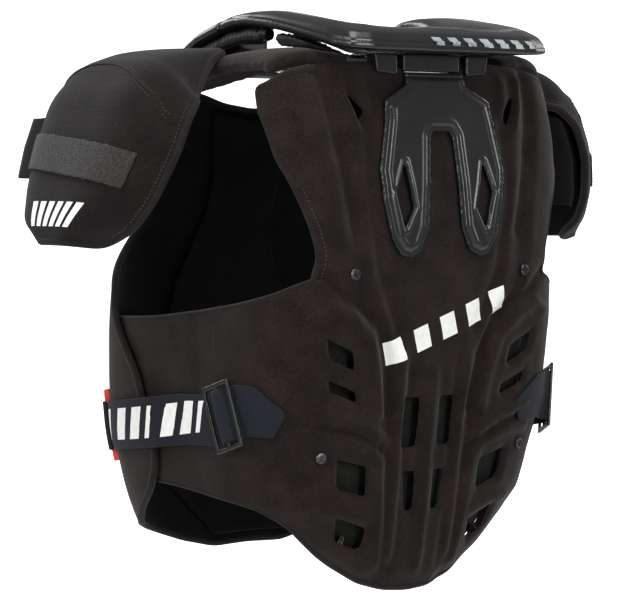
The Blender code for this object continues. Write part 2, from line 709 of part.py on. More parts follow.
def plate_place(u, v):
    x = (u - 0.5) * CHEST_HALF * 0.95
    z = -DROP * PLATE_ROWS[round(v * (len(PLATE_ROWS) - 1))]
    return Vector((x, plate_y(x, z), z))


plate = sheet("thoracic_plate", 10, len(PLATE_ROWS) - 1, plate_place, PLATE_THICK, PLASTIC)
half = [(x * CHEST_HALF, -s * DROP) for x, s in PLATE]
outline = prism("plate_outline", half + [(-x, z) for x, z in reversed(half)], 0.2)
outline.data.transform(Matrix.Translation((0, BACK_REACH, 0)))
cut(plate, [outline], "INTERSECT")
slots = []
for side in (1, -1):
    slot = prism(f"leg_slot_{side}", [(side * x * CHEST_HALF, -s * DROP) for x, s in LEG_SLOT], 0.2)
    slot.data.transform(Matrix.Translation((0, BACK_REACH, 0)))
    slots.append(slot)
cut(plate, slots)

NECK_TOP = BRACE_HEIGHT[-1][1] - LIP_THICK - 0.0006


def strut_profile(height):
    """A section of the strut's neck, curved forward at its sides."""
    y = plate_y(0, 0) - 0.001
    spots = []
    for k in range(7):
        x = 0.19 * CHEST_HALF * (k / 3 - 1)
        spots.append((x, y - 0.002 * abs(k / 3 - 1) ** 2))
    return [Vector((x, y, height)) for x, y in spots] + [Vector((x, y - 0.014, height)) for x, y in reversed(spots)]


def stack(name, levels, mat):
    bm = bmesh.new()
    loops = [[bm.verts.new(co) for co in level] for level in levels]
    for first, second in zip(loops, loops[1:]):
        for k in range(len(first)):
            bm.faces.new((first[k - 1], first[k], second[k], second[k - 1]))
    bm.faces.new(loops[0])
    bm.faces.new(loops[-1])
    bmesh.ops.recalc_face_normals(bm, faces=bm.faces)
    mesh = bpy.data.meshes.new(name)
    bm.to_mesh(mesh)
    bm.free()
    return link(name, mesh, mat)


stack("strut_neck", [strut_profile(-0.0015), strut_profile(NECK_TOP)], PLASTIC)
lug = prism("table_lug_left", [(0.235 * CHEST_HALF, -0.004), (0.37 * CHEST_HALF, -0.002), (0.385 * CHEST_HALF, NECK_TOP),
                               (0.235 * CHEST_HALF, NECK_TOP)], 0.012, parts, PLASTIC)
lug.data.transform(Matrix.Translation((0, plate_y(0, 0) - 0.008, 0)))
mirrored(lug, "table_lug_right")
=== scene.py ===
from math import atan2, copysign, cos, pi, radians, sin

import bmesh
import bpy
import numpy as np
from mathutils import Matrix, Vector, noise
from mathutils.bvhtree import BVHTree


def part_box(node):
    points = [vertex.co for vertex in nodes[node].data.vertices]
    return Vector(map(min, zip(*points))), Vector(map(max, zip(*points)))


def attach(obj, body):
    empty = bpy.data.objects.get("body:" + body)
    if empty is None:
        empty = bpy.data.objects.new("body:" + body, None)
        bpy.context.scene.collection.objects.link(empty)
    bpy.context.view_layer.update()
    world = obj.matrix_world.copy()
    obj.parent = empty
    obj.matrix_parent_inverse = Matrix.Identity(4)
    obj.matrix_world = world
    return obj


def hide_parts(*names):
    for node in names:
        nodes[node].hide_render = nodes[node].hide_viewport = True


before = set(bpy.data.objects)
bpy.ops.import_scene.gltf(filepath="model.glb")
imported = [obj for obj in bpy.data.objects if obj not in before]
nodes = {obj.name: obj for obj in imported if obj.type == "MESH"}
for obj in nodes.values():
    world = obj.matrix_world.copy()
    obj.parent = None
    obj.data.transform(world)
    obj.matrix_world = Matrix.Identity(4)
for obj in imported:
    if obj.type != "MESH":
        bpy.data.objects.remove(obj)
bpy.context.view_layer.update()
print("frame loaded")

# the vest's form, the same sizes as the solids carry
vest = {
    "half": 0.152, "rear": 0.120, "front": 0.155, "drop": 0.415, "axisY": -0.005,
    "padThick": 0.008, "wingThick": 0.003, "frontThick": 0.005, "frontOut": 0.0078, "webWidth": 0.040,
    # share of the drop, half, rear and front shares, rear and front roundness
    "levels": (
        (-0.072, 0.90, 0.72, 0.60, 3.2, 3.0), (0.000, 0.995, 0.86, 0.72, 4.4, 3.0),
        (0.096, 1.01, 0.94, 0.83, 5.2, 3.4), (0.217, 1.01, 0.985, 0.92, 5.5, 3.8),
        (0.361, 0.99, 1.00, 1.07, 4.6, 4.0), (0.494, 1.01, 0.96, 1.10, 4.8, 4.0),
        (0.627, 1.01, 0.89, 1.10, 4.5, 4.0), (0.723, 0.99, 0.85, 1.08, 3.7, 4.0),
        (0.843, 0.935, 0.80, 1.02, 3.0, 3.8), (0.964, 0.87, 0.74, 0.85, 2.6, 3.5),
        (1.036, 0.83, 0.70, 0.79, 2.6, 3.4)),
    "tail": ((0.80, 1.0), (0.85, 0.88), (0.887, 0.79), (0.928, 0.70), (0.973, 0.56), (1.0, 0.48)),
    "backEdge": (
        (-0.03, 0.90), (0.02, 0.965), (0.08, 0.97), (0.17, 0.94), (0.23, 0.88), (0.29, 0.815), (0.345, 0.77),
        (0.385, 0.785), (0.45, 0.81), (0.60, 0.80), (0.80, 0.77), (0.85, 0.75), (0.887, 0.70), (0.928, 0.61),
        (0.973, 0.47), (1.0, 0.40)),
    "frontEdge": (
        (-0.03, 30), (0.04, 34), (0.10, 42), (0.20, 54), (0.278, 57), (0.348, 52), (0.391, 47), (0.42, 42),
        (0.468, 40), (0.50, 36), (0.55, 30), (0.594, 25), (0.70, 20), (0.75, 19), (0.815, 25), (0.884, 38),
        (0.93, 50)),
    "hem": (
        (0.0, 0.993), (0.40, 0.988), (0.67, 0.973), (0.85, 0.930), (0.93, 0.892), (1.0, 0.862), (1.08, 0.838),
        (1.153, 0.820), (1.347, 0.807), (1.52, 0.797), (2.0, 0.79)),
    "split": (
        (0.0, 0.392), (1.0, 0.392), (1.04, 0.402), (1.08, 0.420), (1.21, 0.443), (1.39, 0.460), (1.62, 0.477),
        (2.0, 0.490)),
    "backTop": (
        (0.0, 0.016), (0.19, 0.016), (0.25, -0.002), (0.31, -0.004), (0.60, -0.004), (0.80, 0.004),
        (0.92, 0.016), (1.0, 0.040)),
    "frontTop": ((0.0, 0.07), (0.30, 0.060), (0.50, 0.042), (0.62, 0.036), (0.88, 0.036), (1.0, 0.060)),
    "frontHem": ((0.0, 0.955), (0.40, 0.958), (0.70, 0.940), (0.85, 0.920), (1.0, 0.885)),
    "groove": (
        (-0.02, 0.70, 0.002), (0.31, 0.56, 0.002), (0.40, 0.54, 0.003), (0.46, 0.47, 0.004),
        (0.52, 0.37, 0.004), (0.66, 0.28, 0.004), (0.98, 0.23, 0.003)),
    "hemTuck": ((0.0, 0.008), (0.045, 0.003), (0.11, 0.001), (0.2, 0.0)),
    "wingEnd": radians(-58),
}


def readTable(rows, at):
    if at <= rows[0][0]:
        return rows[0][1:]
    for low, high in zip(rows, rows[1:]):
        if at <= high[0]:
            t = (at - low[0]) / (high[0] - low[0])
            return tuple(a + (b - a) * t for a, b in zip(low[1:], high[1:]))
    return rows[-1][1:]


tableStore = {}


def softTable(rows, at, spread):  # the table with its corners rounded over the spread
    key = (id(rows), round(at * 20000), spread)
    if key not in tableStore:
        reads = [readTable(rows, at + spread * k) for k in (-1.0, -0.6, -0.2, 0.2, 0.6, 1.0)]
        tableStore[key] = tuple(sum(column) / len(reads) for column in zip(*reads))
    return tableStore[key]


sectionStore = {}


def sectionAt(z):
    key = round(z, 4)
    if key not in sectionStore:
        share = -key / vest["drop"]
        half, rear, front, rearRound, frontRound = softTable(vest["levels"], share, 0.03)
        tailHalf = softTable(vest["tail"], share, 0.015)[0]
        sectionStore[key] = (half * vest["half"], min(half, tailHalf) * vest["half"], rear * vest["rear"],
                             front * vest["front"], rearRound, frontRound)
    return sectionStore[key]


def vestPoint(angle, z, out=0.0):
    half, rearHalf, rear, front, rearRound, frontRound = sectionAt(z)
    behind = sin(angle) >= 0
    half = rearHalf if behind else half
    reach = rear - vest["axisY"] if behind else front + vest["axisY"]
    power = rearRound if behind else frontRound
    c, s = cos(angle), sin(angle)
    r = (abs(c / half) ** power + abs(s / reach) ** power) ** (-1 / power)
    x, y = r * c, r * s
    normal = Vector((copysign(abs(x / half) ** (power - 1) / half, x),
                     copysign(abs(y / reach) ** (power - 1) / reach, y), 0)).normalized()
    return Vector((x, y + vest["axisY"], z)) + normal * out


def outwardAt(point):  # the vest's level normal beside the point
    angle = atan2(point.y - vest["axisY"], point.x)
    return (vestPoint(angle, point.z, 0.01) - vestPoint(angle, point.z)).normalized()


def angleAt(x, z, behind=True):
    half, rearHalf, rear, front, rearRound, frontRound = sectionAt(z)
    half = rearHalf if behind else half
    power = rearRound if behind else frontRound
    reach = rear - vest["axisY"] if behind else front + vest["axisY"]
    y = reach * max(1e-6, 1 - abs(x / half) ** power) ** (1 / power)
    return atan2(y if behind else -y, x)


def backAt(x, z, out=0.0):
    return vestPoint(angleAt(x, z), z, out)


# mesh helpers
def finishPiece(bm, name, mats, replaced=(), smooth=True, recalc=True):
    if recalc:
        bmesh.ops.recalc_face_normals(bm, faces=bm.faces)
    mesh = bpy.data.meshes.new(name)
    bm.to_mesh(mesh)
    bm.free()
    obj = bpy.data.objects.new(name, mesh)
    bpy.context.scene.collection.objects.link(obj)
    for mat in mats:
        mesh.materials.append(mat)
    if smooth:
        mesh.shade_smooth()
    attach(obj, "root")
    if replaced:
        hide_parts(*replaced)
    return obj


def applied(obj):  # the object with its modifiers made real
    depsgraph = bpy.context.evaluated_depsgraph_get()
    mesh = bpy.data.meshes.new_from_object(obj.evaluated_get(depsgraph))
    obj.modifiers.clear()
    old = obj.data
    obj.data = mesh
    bpy.data.meshes.remove(old)
    return obj


def gridSheet(columns, rows, place):  # a sheet laid out by place(u, v), with its cover map
    bm = bmesh.new()
    bmesh.ops.create_grid(bm, x_segments=columns, y_segments=rows, size=0.5)
    layer = bm.loops.layers.uv.new("cover")
    spots = {}
    for vert in bm.verts:
        u, v = vert.co.x + 0.5, vert.co.y + 0.5
        spots[vert] = (u, v)
        vert.co = place(u, v)
    for face in bm.faces:
        for loop in face.loops:
            loop[layer].uv = spots[loop.vert]
    bm.normal_update()
    return bm


def segmentsOf(points, closed=True):
    pairs = zip(points, points[1:] + points[:1]) if closed else zip(points, points[1:])
    return [(a, b) for a, b in pairs]


def distanceTo(spots, segments):  # shortest distance from each flat point to the segments
    best = np.full(len(spots), 1e3)
    for a, b in segments:
        a, b = np.array(a), np.array(b)
        along = b - a
        t = np.clip(((spots - a) @ along) / max(1e-12, along @ along), 0, 1)
        best = np.minimum(best, np.linalg.norm(spots - (a + t[:, None] * along), axis=1))
    return best


def nearestOn(point, segments):
    best = None
    for a, b in segments:
        a, b = Vector(a), Vector(b)
        t = max(0, min(1, (point - a).dot(b - a) / (b - a).length_squared))
        spot = a.lerp(b, t)
        if best is None or (spot - point).length < (best - point).length:
            best = spot
    return best


def inside(x, z, corners):
    odd = False
    for (ax, az), (bx, bz) in zip(corners, corners[1:] + corners[:1]):
        if (az > z) != (bz > z) and x < ax + (z - az) / (bz - az) * (bx - ax):
            odd = not odd
    return odd


def edgeChains(bm):  # the open edges of a sheet, as closed runs of vertices
    left = {e for e in bm.edges if e.is_boundary}
    chains = []
    while left:
        edge = left.pop()
        chain = [edge.verts[0], edge.verts[1]]
        while True:
            following = next((e for e in chain[-1].link_edges if e in left), None)
            if not following:
                break
            left.discard(following)
            chain.append(following.other_vert(chain[-1]))
        if chain[0] is chain[-1]:
            chain.pop()
        chains.append(chain)
    return chains


def evenly(points, step, closed=False):  # points at a steady pitch along a run
    run = [Vector(p) for p in points] + ([Vector(points[0])] if closed else [])
    spots, carried = [], 0.0
    for a, b in zip(run, run[1:]):
        length = (b - a).length
        while carried < length:
            spots.append(a.lerp(b, carried / length))
            carried += step
        carried -= length
    return spots


def smoothRun(points, passes=3, closed=True):
    run = [Vector(p) for p in points]
    for _ in range(passes):
        again = []
        for k, p in enumerate(run):
            if not closed and k in (0, len(run) - 1):
                again.append(p)
            else:
                again.append((run[k - 1] + p * 2 + run[(k + 1) % len(run)]) / 4)
        run = again
    return run


stitchPlan = {"pitch": 0.0034, "reach": 0.02}  # a stitch is left out where the surface is past the reach


def stitchRuns(name, runs, mat, surface, length=0.0024, radius=0.00042, lift=0.0002, slot=None):
    bm = bmesh.new()
    for run in runs:
        spots = evenly(run, stitchPlan["pitch"])
        for here, ahead in zip(spots, spots[1:]):
            hit, normal, _, _ = surface.find_nearest(here)
            if hit is None or (hit - here).length > stitchPlan["reach"]:
                continue
            along = (ahead - here).normalized()
            across = normal.cross(along).normalized()
            turn = Matrix((along, across, across.cross(along) * -1)).transposed().to_4x4()
            size = Matrix.Diagonal((length / 2, radius, radius, 1))
            shape = Matrix.Translation(hit + normal * lift) @ turn @ size
            bmesh.ops.create_icosphere(bm, subdivisions=1, radius=1.0, matrix=shape)
    return finishPiece(bm, name, [mat])


def readVerts(mesh):  # places and normals, read once before any is changed
    spots = np.empty(len(mesh.vertices) * 3)
    normals = np.empty_like(spots)
    mesh.vertices.foreach_get("co", spots)
    mesh.vertices.foreach_get("normal", normals)
    return spots.reshape(-1, 3), normals.reshape(-1, 3)


def writeVerts(mesh, spots):
    mesh.vertices.foreach_set("co", spots.ravel())
    mesh.update()


def setGroup(obj, name, values):
    group = obj.vertex_groups.new(name=name)
    for index, value in enumerate(values):
        group.add([index], float(value), "REPLACE")


def thicken(obj, thickness, group=None, thin=1.0):
    solid = obj.modifiers.new("wall", "SOLIDIFY")
    solid.thickness = thickness
    solid.offset = 1.0
    if group:
        solid.vertex_group = group
        solid.thickness_vertex_group = thin
    return applied(obj)


def mirrorPiece(obj, name, replaced=()):
    bm = bmesh.new()
    bm.from_mesh(obj.data)
    bmesh.ops.scale(bm, vec=(-1, 1, 1), verts=bm.verts)
    bmesh.ops.reverse_faces(bm, faces=bm.faces)
    return finishPiece(bm, name, list(obj.data.materials), replaced, recalc=False)


# finishes
clothSpecular = 0.12
bumpHeights = {"cloth": 0.0006, "perforated": 0.0007, "woven": 0.0005, "plastic": 0.0003}  # metres


def nodeOf(tree, kind, **settings):
    node = tree.nodes.new(kind)
    for key, value in settings.items():
        setattr(node, key, value)
    return node


def link(tree, source, target):
    tree.links.new(source, target)


def maths(tree, operation, first, second=None, third=None):
    node = nodeOf(tree, "ShaderNodeMath", operation=operation)
    for socket, value in zip(node.inputs, (first, second, third)):
        if value is None:
            continue
        if isinstance(value, (int, float)):
            socket.default_value = value
        else:
            link(tree, value, socket)
    return node.outputs[0]


def blankFinish(name, roughness, metallic=0.0):
    mat = bpy.data.materials.new(name)
    mat.use_nodes = True
    shader = mat.node_tree.nodes["Principled BSDF"]
    shader.inputs["Roughness"].default_value = roughness
    shader.inputs["Metallic"].default_value = metallic
    return mat, mat.node_tree, shader


def noiseOf(tree, vector, scale, detail=3.0, rough=0.55):
    node = nodeOf(tree, "ShaderNodeTexNoise")
    node.inputs["Scale"].default_value = scale
    node.inputs["Detail"].default_value = detail
    node.inputs["Roughness"].default_value = rough
    link(tree, vector, node.inputs["Vector"])
    return node.outputs["Fac"]


def rampOf(tree, factor, low, high, dark, light):
    node = nodeOf(tree, "ShaderNodeValToRGB")
    node.color_ramp.elements[0].position = low
    node.color_ramp.elements[1].position = high
    node.color_ramp.elements[0].color = (*dark, 1)
    node.color_ramp.elements[1].color = (*light, 1)
    link(tree, factor, node.inputs["Fac"])
    return node.outputs["Color"]


def bumpOf(tree, shader, height, strength, distance):
    node = nodeOf(tree, "ShaderNodeBump")
    node.inputs["Strength"].default_value = strength
    node.inputs["Distance"].default_value = distance
    link(tree, height, node.inputs["Height"])
    link(tree, node.outputs["Normal"], shader.inputs["Normal"])


def mixOf(tree, factor, first, second):
    node = nodeOf(tree, "ShaderNodeMix", data_type="RGBA")
    for socket, value in ((node.inputs[0], factor), (node.inputs[6], first), (node.inputs[7], second)):
        if isinstance(value, tuple):
            socket.default_value = (*value, 1)
        elif isinstance(value, float):
            socket.default_value = value
        else:
            link(tree, value, socket)
    return node.outputs[2]


def coordOf(tree, output="Object"):
    return nodeOf(tree, "ShaderNodeTexCoord").outputs[output]


def clothFinish(name, settings):
    mat, tree, shader = blankFinish(name, settings["roughness"])
    where = coordOf(tree)
    fine = noiseOf(tree, where, settings["grain"], 4.0, 0.7)
    broad = noiseOf(tree, where, settings["mottle"], 3.0)
    tone = maths(tree, "ADD", maths(tree, "MULTIPLY", fine, 0.65), maths(tree, "MULTIPLY", broad, 0.35))
    colour = rampOf(tree, tone, 0.36, 0.64, settings["dark"], settings["light"])
    link(tree, colour, shader.inputs["Base Color"])
    shader.inputs["Sheen Weight"].default_value = settings["sheen"]
    shader.inputs["Sheen Roughness"].default_value = 0.45
    shader.inputs["Specular IOR Level"].default_value = clothSpecular
    bumpOf(tree, shader, tone, settings["bump"], bumpHeights["cloth"])
    return mat


def perforatedFinish(name, settings):
    mat, tree, shader = blankFinish(name, settings["roughness"])
    where = coordOf(tree)
    parts = nodeOf(tree, "ShaderNodeSeparateXYZ")
    link(tree, coordOf(tree, "UV"), parts.inputs[0])
    u = maths(tree, "DIVIDE", parts.outputs[0], settings["pitch"])
    v = maths(tree, "DIVIDE", parts.outputs[1], settings["pitch"] * 0.9)
    row = maths(tree, "MODULO", maths(tree, "FLOOR", v), 2.0)
    shifted = maths(tree, "FRACT", maths(tree, "ADD", u, maths(tree, "MULTIPLY", row, 0.5)))
    across = maths(tree, "SUBTRACT", shifted, 0.5)
    down = maths(tree, "SUBTRACT", maths(tree, "FRACT", v), 0.5)
    away = maths(tree, "SQRT", maths(tree, "ADD", maths(tree, "MULTIPLY", across, across),
                                     maths(tree, "MULTIPLY", down, down)))
    away = maths(tree, "DIVIDE", away, settings["hole"] / settings["pitch"])
    hole = maths(tree, "SMOOTH_MIN", away, 1.0, 0.2)  # 0 in a hole, 1 between them
    fine = noiseOf(tree, where, settings["grain"], 4.0, 0.7)
    broad = noiseOf(tree, where, settings["mottle"])
    tone = maths(tree, "ADD", maths(tree, "MULTIPLY", fine, 0.6), maths(tree, "MULTIPLY", broad, 0.4))
    cloth = rampOf(tree, tone, 0.36, 0.64, settings["dark"], settings["light"])
    # the holes are painted near black (0.002): painted shade inside each hole, with the cloth's own colour
    # between them
    link(tree, mixOf(tree, hole, (0.002, 0.002, 0.002), cloth), shader.inputs["Base Color"])
    shader.inputs["Sheen Weight"].default_value = settings["sheen"]
    shader.inputs["Sheen Roughness"].default_value = 0.5
    shader.inputs["Specular IOR Level"].default_value = clothSpecular
    relief = maths(tree, "ADD", hole, maths(tree, "MULTIPLY", tone, 0.5))
    bumpOf(tree, shader, relief, 0.6, bumpHeights["perforated"])
    return mat


def wovenFinish(name, settings):
    mat, tree, shader = blankFinish(name, settings["roughness"])
    parts = nodeOf(tree, "ShaderNodeSeparateXYZ")
    link(tree, coordOf(tree, "UV"), parts.inputs[0])
    warp = maths(tree, "SINE", maths(tree, "MULTIPLY", parts.outputs[0], 2 * pi / settings["warp"]))
    weft = maths(tree, "SINE", maths(tree, "MULTIPLY", parts.outputs[1], 2 * pi / settings["weft"]))
    weave = maths(tree, "MULTIPLY_ADD", maths(tree, "MULTIPLY", warp, weft), 0.35, 0.5)
    fine = noiseOf(tree, coordOf(tree), 1400, 3.0)
    tone = maths(tree, "ADD", maths(tree, "MULTIPLY", weave, 0.6), maths(tree, "MULTIPLY", fine, 0.4))
    colour = rampOf(tree, tone, 0.25, 0.75, settings["dark"], settings["light"])
    link(tree, colour, shader.inputs["Base Color"])
    shader.inputs["Specular IOR Level"].default_value = 0.15
    shader.inputs["Sheen Weight"].default_value = settings["sheen"]
    bumpOf(tree, shader, tone, 0.5, bumpHeights["woven"])
    return mat


def plasticFinish(name, settings):
    mat, tree, shader = blankFinish(name, settings["roughness"])
    where = coordOf(tree)
    broad = noiseOf(tree, where, settings["mottle"], 4.0)
    fine = noiseOf(tree, where, settings["grain"], 3.0)
    colour = rampOf(tree, broad, 0.3, 0.7, settings["dark"], settings["light"])
    link(tree, colour, shader.inputs["Base Color"])
    rough = maths(tree, "MULTIPLY_ADD", fine, settings["wear"], settings["roughness"] - settings["wear"] / 2)
    link(tree, rough, shader.inputs["Roughness"])
    bumpOf(tree, shader, fine, settings["bump"], bumpHeights["plastic"])
    return mat


finishes = {
    "shellCloth": clothFinish("shellCloth", {
        "dark": (0.0036, 0.0024, 0.0021), "light": (0.0190, 0.0130, 0.0115), "grain": 620, "mottle": 45,
        "roughness": 0.9, "sheen": 0.10, "bump": 0.6}),
    "binding": clothFinish("binding", {
        "dark": (0.005, 0.004, 0.0036), "light": (0.018, 0.0138, 0.0125), "grain": 1500, "mottle": 90,
        "roughness": 0.8, "sheen": 0.08, "bump": 0.4}),
    "lining": clothFinish("lining", {
        "dark": (0.0018, 0.0018, 0.0018), "light": (0.0075, 0.0073, 0.0070), "grain": 1300, "mottle": 60,
        "roughness": 0.95, "sheen": 0.04, "bump": 0.35}),
    "capCloth": perforatedFinish("capCloth", {
        "dark": (0.0030, 0.0023, 0.0021), "light": (0.0105, 0.0080, 0.0075), "grain": 1200, "mottle": 50,
        "roughness": 0.88, "sheen": 0.08, "pitch": 0.0066, "hole": 0.0014}),
    "pile": clothFinish("pile", {
        "dark": (0.003, 0.003, 0.003), "light": (0.055, 0.052, 0.050), "grain": 1500, "mottle": 500,
        "roughness": 0.97, "sheen": 0.2, "bump": 1.0}),
    "webbing": wovenFinish("webbing", {
        "dark": (0.003, 0.0036, 0.0062), "light": (0.0145, 0.0165, 0.026), "warp": 0.0018, "weft": 0.0013,
        "roughness": 0.8, "sheen": 0.05}),
    "tape": wovenFinish("tape", {
        "dark": (0.003, 0.003, 0.003), "light": (0.015, 0.0145, 0.014), "warp": 0.0016, "weft": 0.0011,
        "roughness": 0.8, "sheen": 0.15}),
    "net": perforatedFinish("net", {
        "dark": (0.004, 0.004, 0.0035), "light": (0.0150, 0.0145, 0.0125), "grain": 1500, "mottle": 90,
        "roughness": 0.8, "sheen": 0.1, "pitch": 0.0032, "hole": 0.0010}),
    "plastic": plasticFinish("blackPlastic", {
        "dark": (0.0055, 0.0062, 0.0056), "light": (0.0095, 0.0104, 0.0094), "mottle": 25, "grain": 350,
        "roughness": 0.25, "wear": 0.05, "bump": 0.015}),
    "rubber": plasticFinish("bootRubber", {
        "dark": (0.010, 0.010, 0.0095), "light": (0.020, 0.0195, 0.0185), "mottle": 60, "grain": 900,
        "roughness": 0.52, "wear": 0.16, "bump": 0.35}),
    "gloss": plasticFinish("glossPlastic", {
        "dark": (0.006, 0.0065, 0.006), "light": (0.010, 0.0105, 0.010), "mottle": 30, "grain": 500,
        "roughness": 0.16, "wear": 0.06, "bump": 0.05}),
    "studs": plasticFinish("studRubber", {
        "dark": (0.010, 0.010, 0.0098), "light": (0.019, 0.0188, 0.018), "mottle": 80, "grain": 1300,
        "roughness": 0.58, "wear": 0.15, "bump": 0.45}),
    "redPlastic": plasticFinish("redPlastic", {
        "dark": (0.62, 0.035, 0.025), "light": (0.78, 0.06, 0.04), "mottle": 40, "grain": 600,
        "roughness": 0.36, "wear": 0.1, "bump": 0.12}),
    "whitePrint": plasticFinish("palePrint", {
        "dark": (0.72, 0.72, 0.71), "light": (0.83, 0.83, 0.82), "mottle": 200, "grain": 1500,
        "roughness": 0.6, "wear": 0.15, "bump": 0.25}),
    "greyPrint": plasticFinish("greyPrint", {
        "dark": (0.22, 0.25, 0.27), "light": (0.34, 0.37, 0.39), "mottle": 200, "grain": 1200,
        "roughness": 0.45, "wear": 0.15, "bump": 0.1}),
    "thread": clothFinish("thread", {
        "dark": (0.012, 0.010, 0.009), "light": (0.06, 0.05, 0.046), "grain": 2500, "mottle": 300,
        "roughness": 0.7, "sheen": 0.2, "bump": 0.4}),
}
steel, steelTree, steelShader = blankFinish("darkSteel", 0.32, 1.0)
steelGrain = noiseOf(steelTree, coordOf(steelTree), 700, 3.0)
link(steelTree, rampOf(steelTree, steelGrain, 0.35, 0.65, (0.035, 0.035, 0.035), (0.12, 0.12, 0.12)),
     steelShader.inputs["Base Color"])
finishes["steel"] = steel
print("finishes made")


# copies of solids, refined
def softCopy(node, name, voxel, passes, mats, shape=None):  # the solid, remeshed finely and relaxed
    bm = bmesh.new()
    bm.from_mesh(nodes[node].data)
    bmesh.ops.remove_doubles(bm, verts=bm.verts, dist=1e-5)
    obj = finishPiece(bm, name, [], (node,))
    remesh = obj.modifiers.new("fine", "REMESH")
    remesh.mode = "VOXEL"
    remesh.voxel_size = voxel
    relax = obj.modifiers.new("relax", "SMOOTH")
    relax.factor = 0.5
    relax.iterations = passes
    applied(obj)
    if shape:
        shape(obj)
    obj.data.materials.clear()
    for mat in mats:
        obj.data.materials.append(mat)
    obj.data.shade_smooth()
    return obj


padPlan = {"pressure": 3.0, "reach": 0.0012, "frames": 20, "quality": 4, "mass": 0.3}


def inflate(obj):  # the padding swells by cloth simulation, no further than the reach
    start = np.empty(len(obj.data.vertices) * 3)
    obj.data.vertices.foreach_get("co", start)
    cloth = obj.modifiers.new("padding", "CLOTH")
    cloth.settings.quality = padPlan["quality"]
    cloth.settings.mass = padPlan["mass"]
    cloth.settings.use_pressure = True
    cloth.settings.uniform_pressure_force = padPlan["pressure"]
    cloth.settings.effector_weights.gravity = 0.0
    cloth.collision_settings.use_collision = False
    cloth.collision_settings.use_self_collision = False
    cloth.point_cache.frame_start = 1
    cloth.point_cache.frame_end = padPlan["frames"]
    scene = bpy.context.scene
    for step in range(1, padPlan["frames"] + 1):
        scene.frame_set(step)
    applied(obj)
    scene.frame_set(1)
    after = np.empty_like(start)
    obj.data.vertices.foreach_get("co", after)
    moved = (after - start).reshape(-1, 3)
    size = np.maximum(np.linalg.norm(moved, axis=1), 1e-9)
    moved *= np.minimum(1.0, padPlan["reach"] / size)[:, None]
    obj.data.vertices.foreach_set("co", (start.reshape(-1, 3) + moved).ravel())
    obj.data.update()
    return obj


def coverInMetres(obj, width, height):
    layer = obj.data.uv_layers.get("cover")
    if layer:
        spots = np.empty(len(layer.data) * 2)
        layer.data.foreach_get("uv", spots)
        spots[0::2] *= width
        spots[1::2] *= height
        layer.data.foreach_set("uv", spots)


def turnInwards(bm, centre):  # faces look towards the centre line, so a wall grows that way
    total = sum(f.normal.dot(f.calc_center_median() - centre) * f.calc_area() for f in bm.faces)
    if total > 0:
        bmesh.ops.reverse_faces(bm, faces=bm.faces)
        bm.normal_update()


def printShapes(name, surface, shapes, mat, lift=0.00025, facing=None, step=0.0016):
    bm = bmesh.new()
    for corners in shapes:
        a, b, c, d = [Vector(p) for p in corners]
        columns = max(2, int(max((b - a).length, (c - d).length) / step))
        rows = max(2, int(max((d - a).length, (c - b).length) / step))
        made = bmesh.ops.create_grid(bm, x_segments=columns, y_segments=rows, size=0.5)["verts"]
        for vert in made:
            u, v = vert.co.x + 0.5, vert.co.y + 0.5
            spot = a.lerp(b, u).lerp(d.lerp(c, u), v)
            if facing:
                hit, normal, _, _ = surface.ray_cast(spot + facing * 0.08, -facing, 0.16)
            else:
                hit, normal, _, _ = surface.find_nearest(spot)
            vert.co = hit + normal * lift if hit else spot
    return finishPiece(bm, name, [mat], recalc=False)


# back panel
backPlan = {
    "columns": 60, "wingColumns": 46, "rows": 150,
    "windows": (
        ((0.70, 0.503), (0.54, 0.530), (0.52, 0.566), (0.68, 0.540)),
        ((0.67, 0.582), (0.50, 0.606), (0.49, 0.626), (0.66, 0.603)),
        ((0.575, 0.733), (0.39, 0.750), (0.38, 0.808), (0.555, 0.790)),
        ((0.535, 0.846), (0.355, 0.870), (0.37, 0.914), (0.51, 0.894)),
        ((0.165, 0.622), (0.070, 0.622), (0.070, 0.718), (0.165, 0.718)),
        ((0.140, 0.765), (0.065, 0.765), (0.062, 0.842), (0.118, 0.842)),
        ((0.580, 0.038), (0.500, 0.105), (0.475, 0.080))),
    # runs across the panel in metres, then half width and height of the moulding
    "ridges": (
        (((0.116, -0.192), (0.104, -0.186), (0.086, -0.194), (0.066, -0.208), (0.056, -0.240),
          (0.052, -0.268)), 0.0055, 0.0024),
        (((0.104, -0.269), (0.084, -0.274), (0.060, -0.283), (0.044, -0.291)), 0.0065, 0.0026),
        (((0.106, -0.286), (0.080, -0.289), (0.056, -0.297), (0.047, -0.308), (0.044, -0.345),
          (0.040, -0.392)), 0.0055, 0.0024),
        (((0.094, -0.345), (0.076, -0.347), (0.056, -0.352)), 0.0050, 0.0016),
        (((0.034, -0.225), (0.033, -0.262), (0.032, -0.330), (0.030, -0.385)), 0.0050, 0.0018),
        (((0.0, -0.240), (0.0, -0.395)), 0.0050, 0.0018),
        (((0.094, -0.006), (0.082, -0.044)), 0.0045, 0.0018),
        (((0.074, -0.008), (0.070, -0.034)), 0.0045, 0.0016)),
    "valleys": (
        (((0.109, 0.005), (0.100, -0.050), (0.084, -0.127)), 0.0070, 0.0022),
        (((0.070, -0.040), (0.072, -0.100), (0.060, -0.160), (0.040, -0.205)), 0.0060, 0.0016),
        (((0.117, -0.160), (0.108, -0.165), (0.097, -0.176), (0.079, -0.184), (0.060, -0.196),
          (0.047, -0.225), (0.042, -0.268)), 0.0045, 0.0020),
        (((0.103, -0.277), (0.076, -0.283), (0.050, -0.297)), 0.0040, 0.0020),
        (((0.024, -0.235), (0.024, -0.395)), 0.0040, 0.0012)),
    "windowDip": 0.0028, "windowReach": 0.0055, "ridgeGain": 1.7, "valleyGain": 1.8, "snap": 0.004,
    "grooveHalf": 0.012, "cornerStep": 0.0012, "softFolds": ((26, 0.0009), (70, 0.0004)),
}


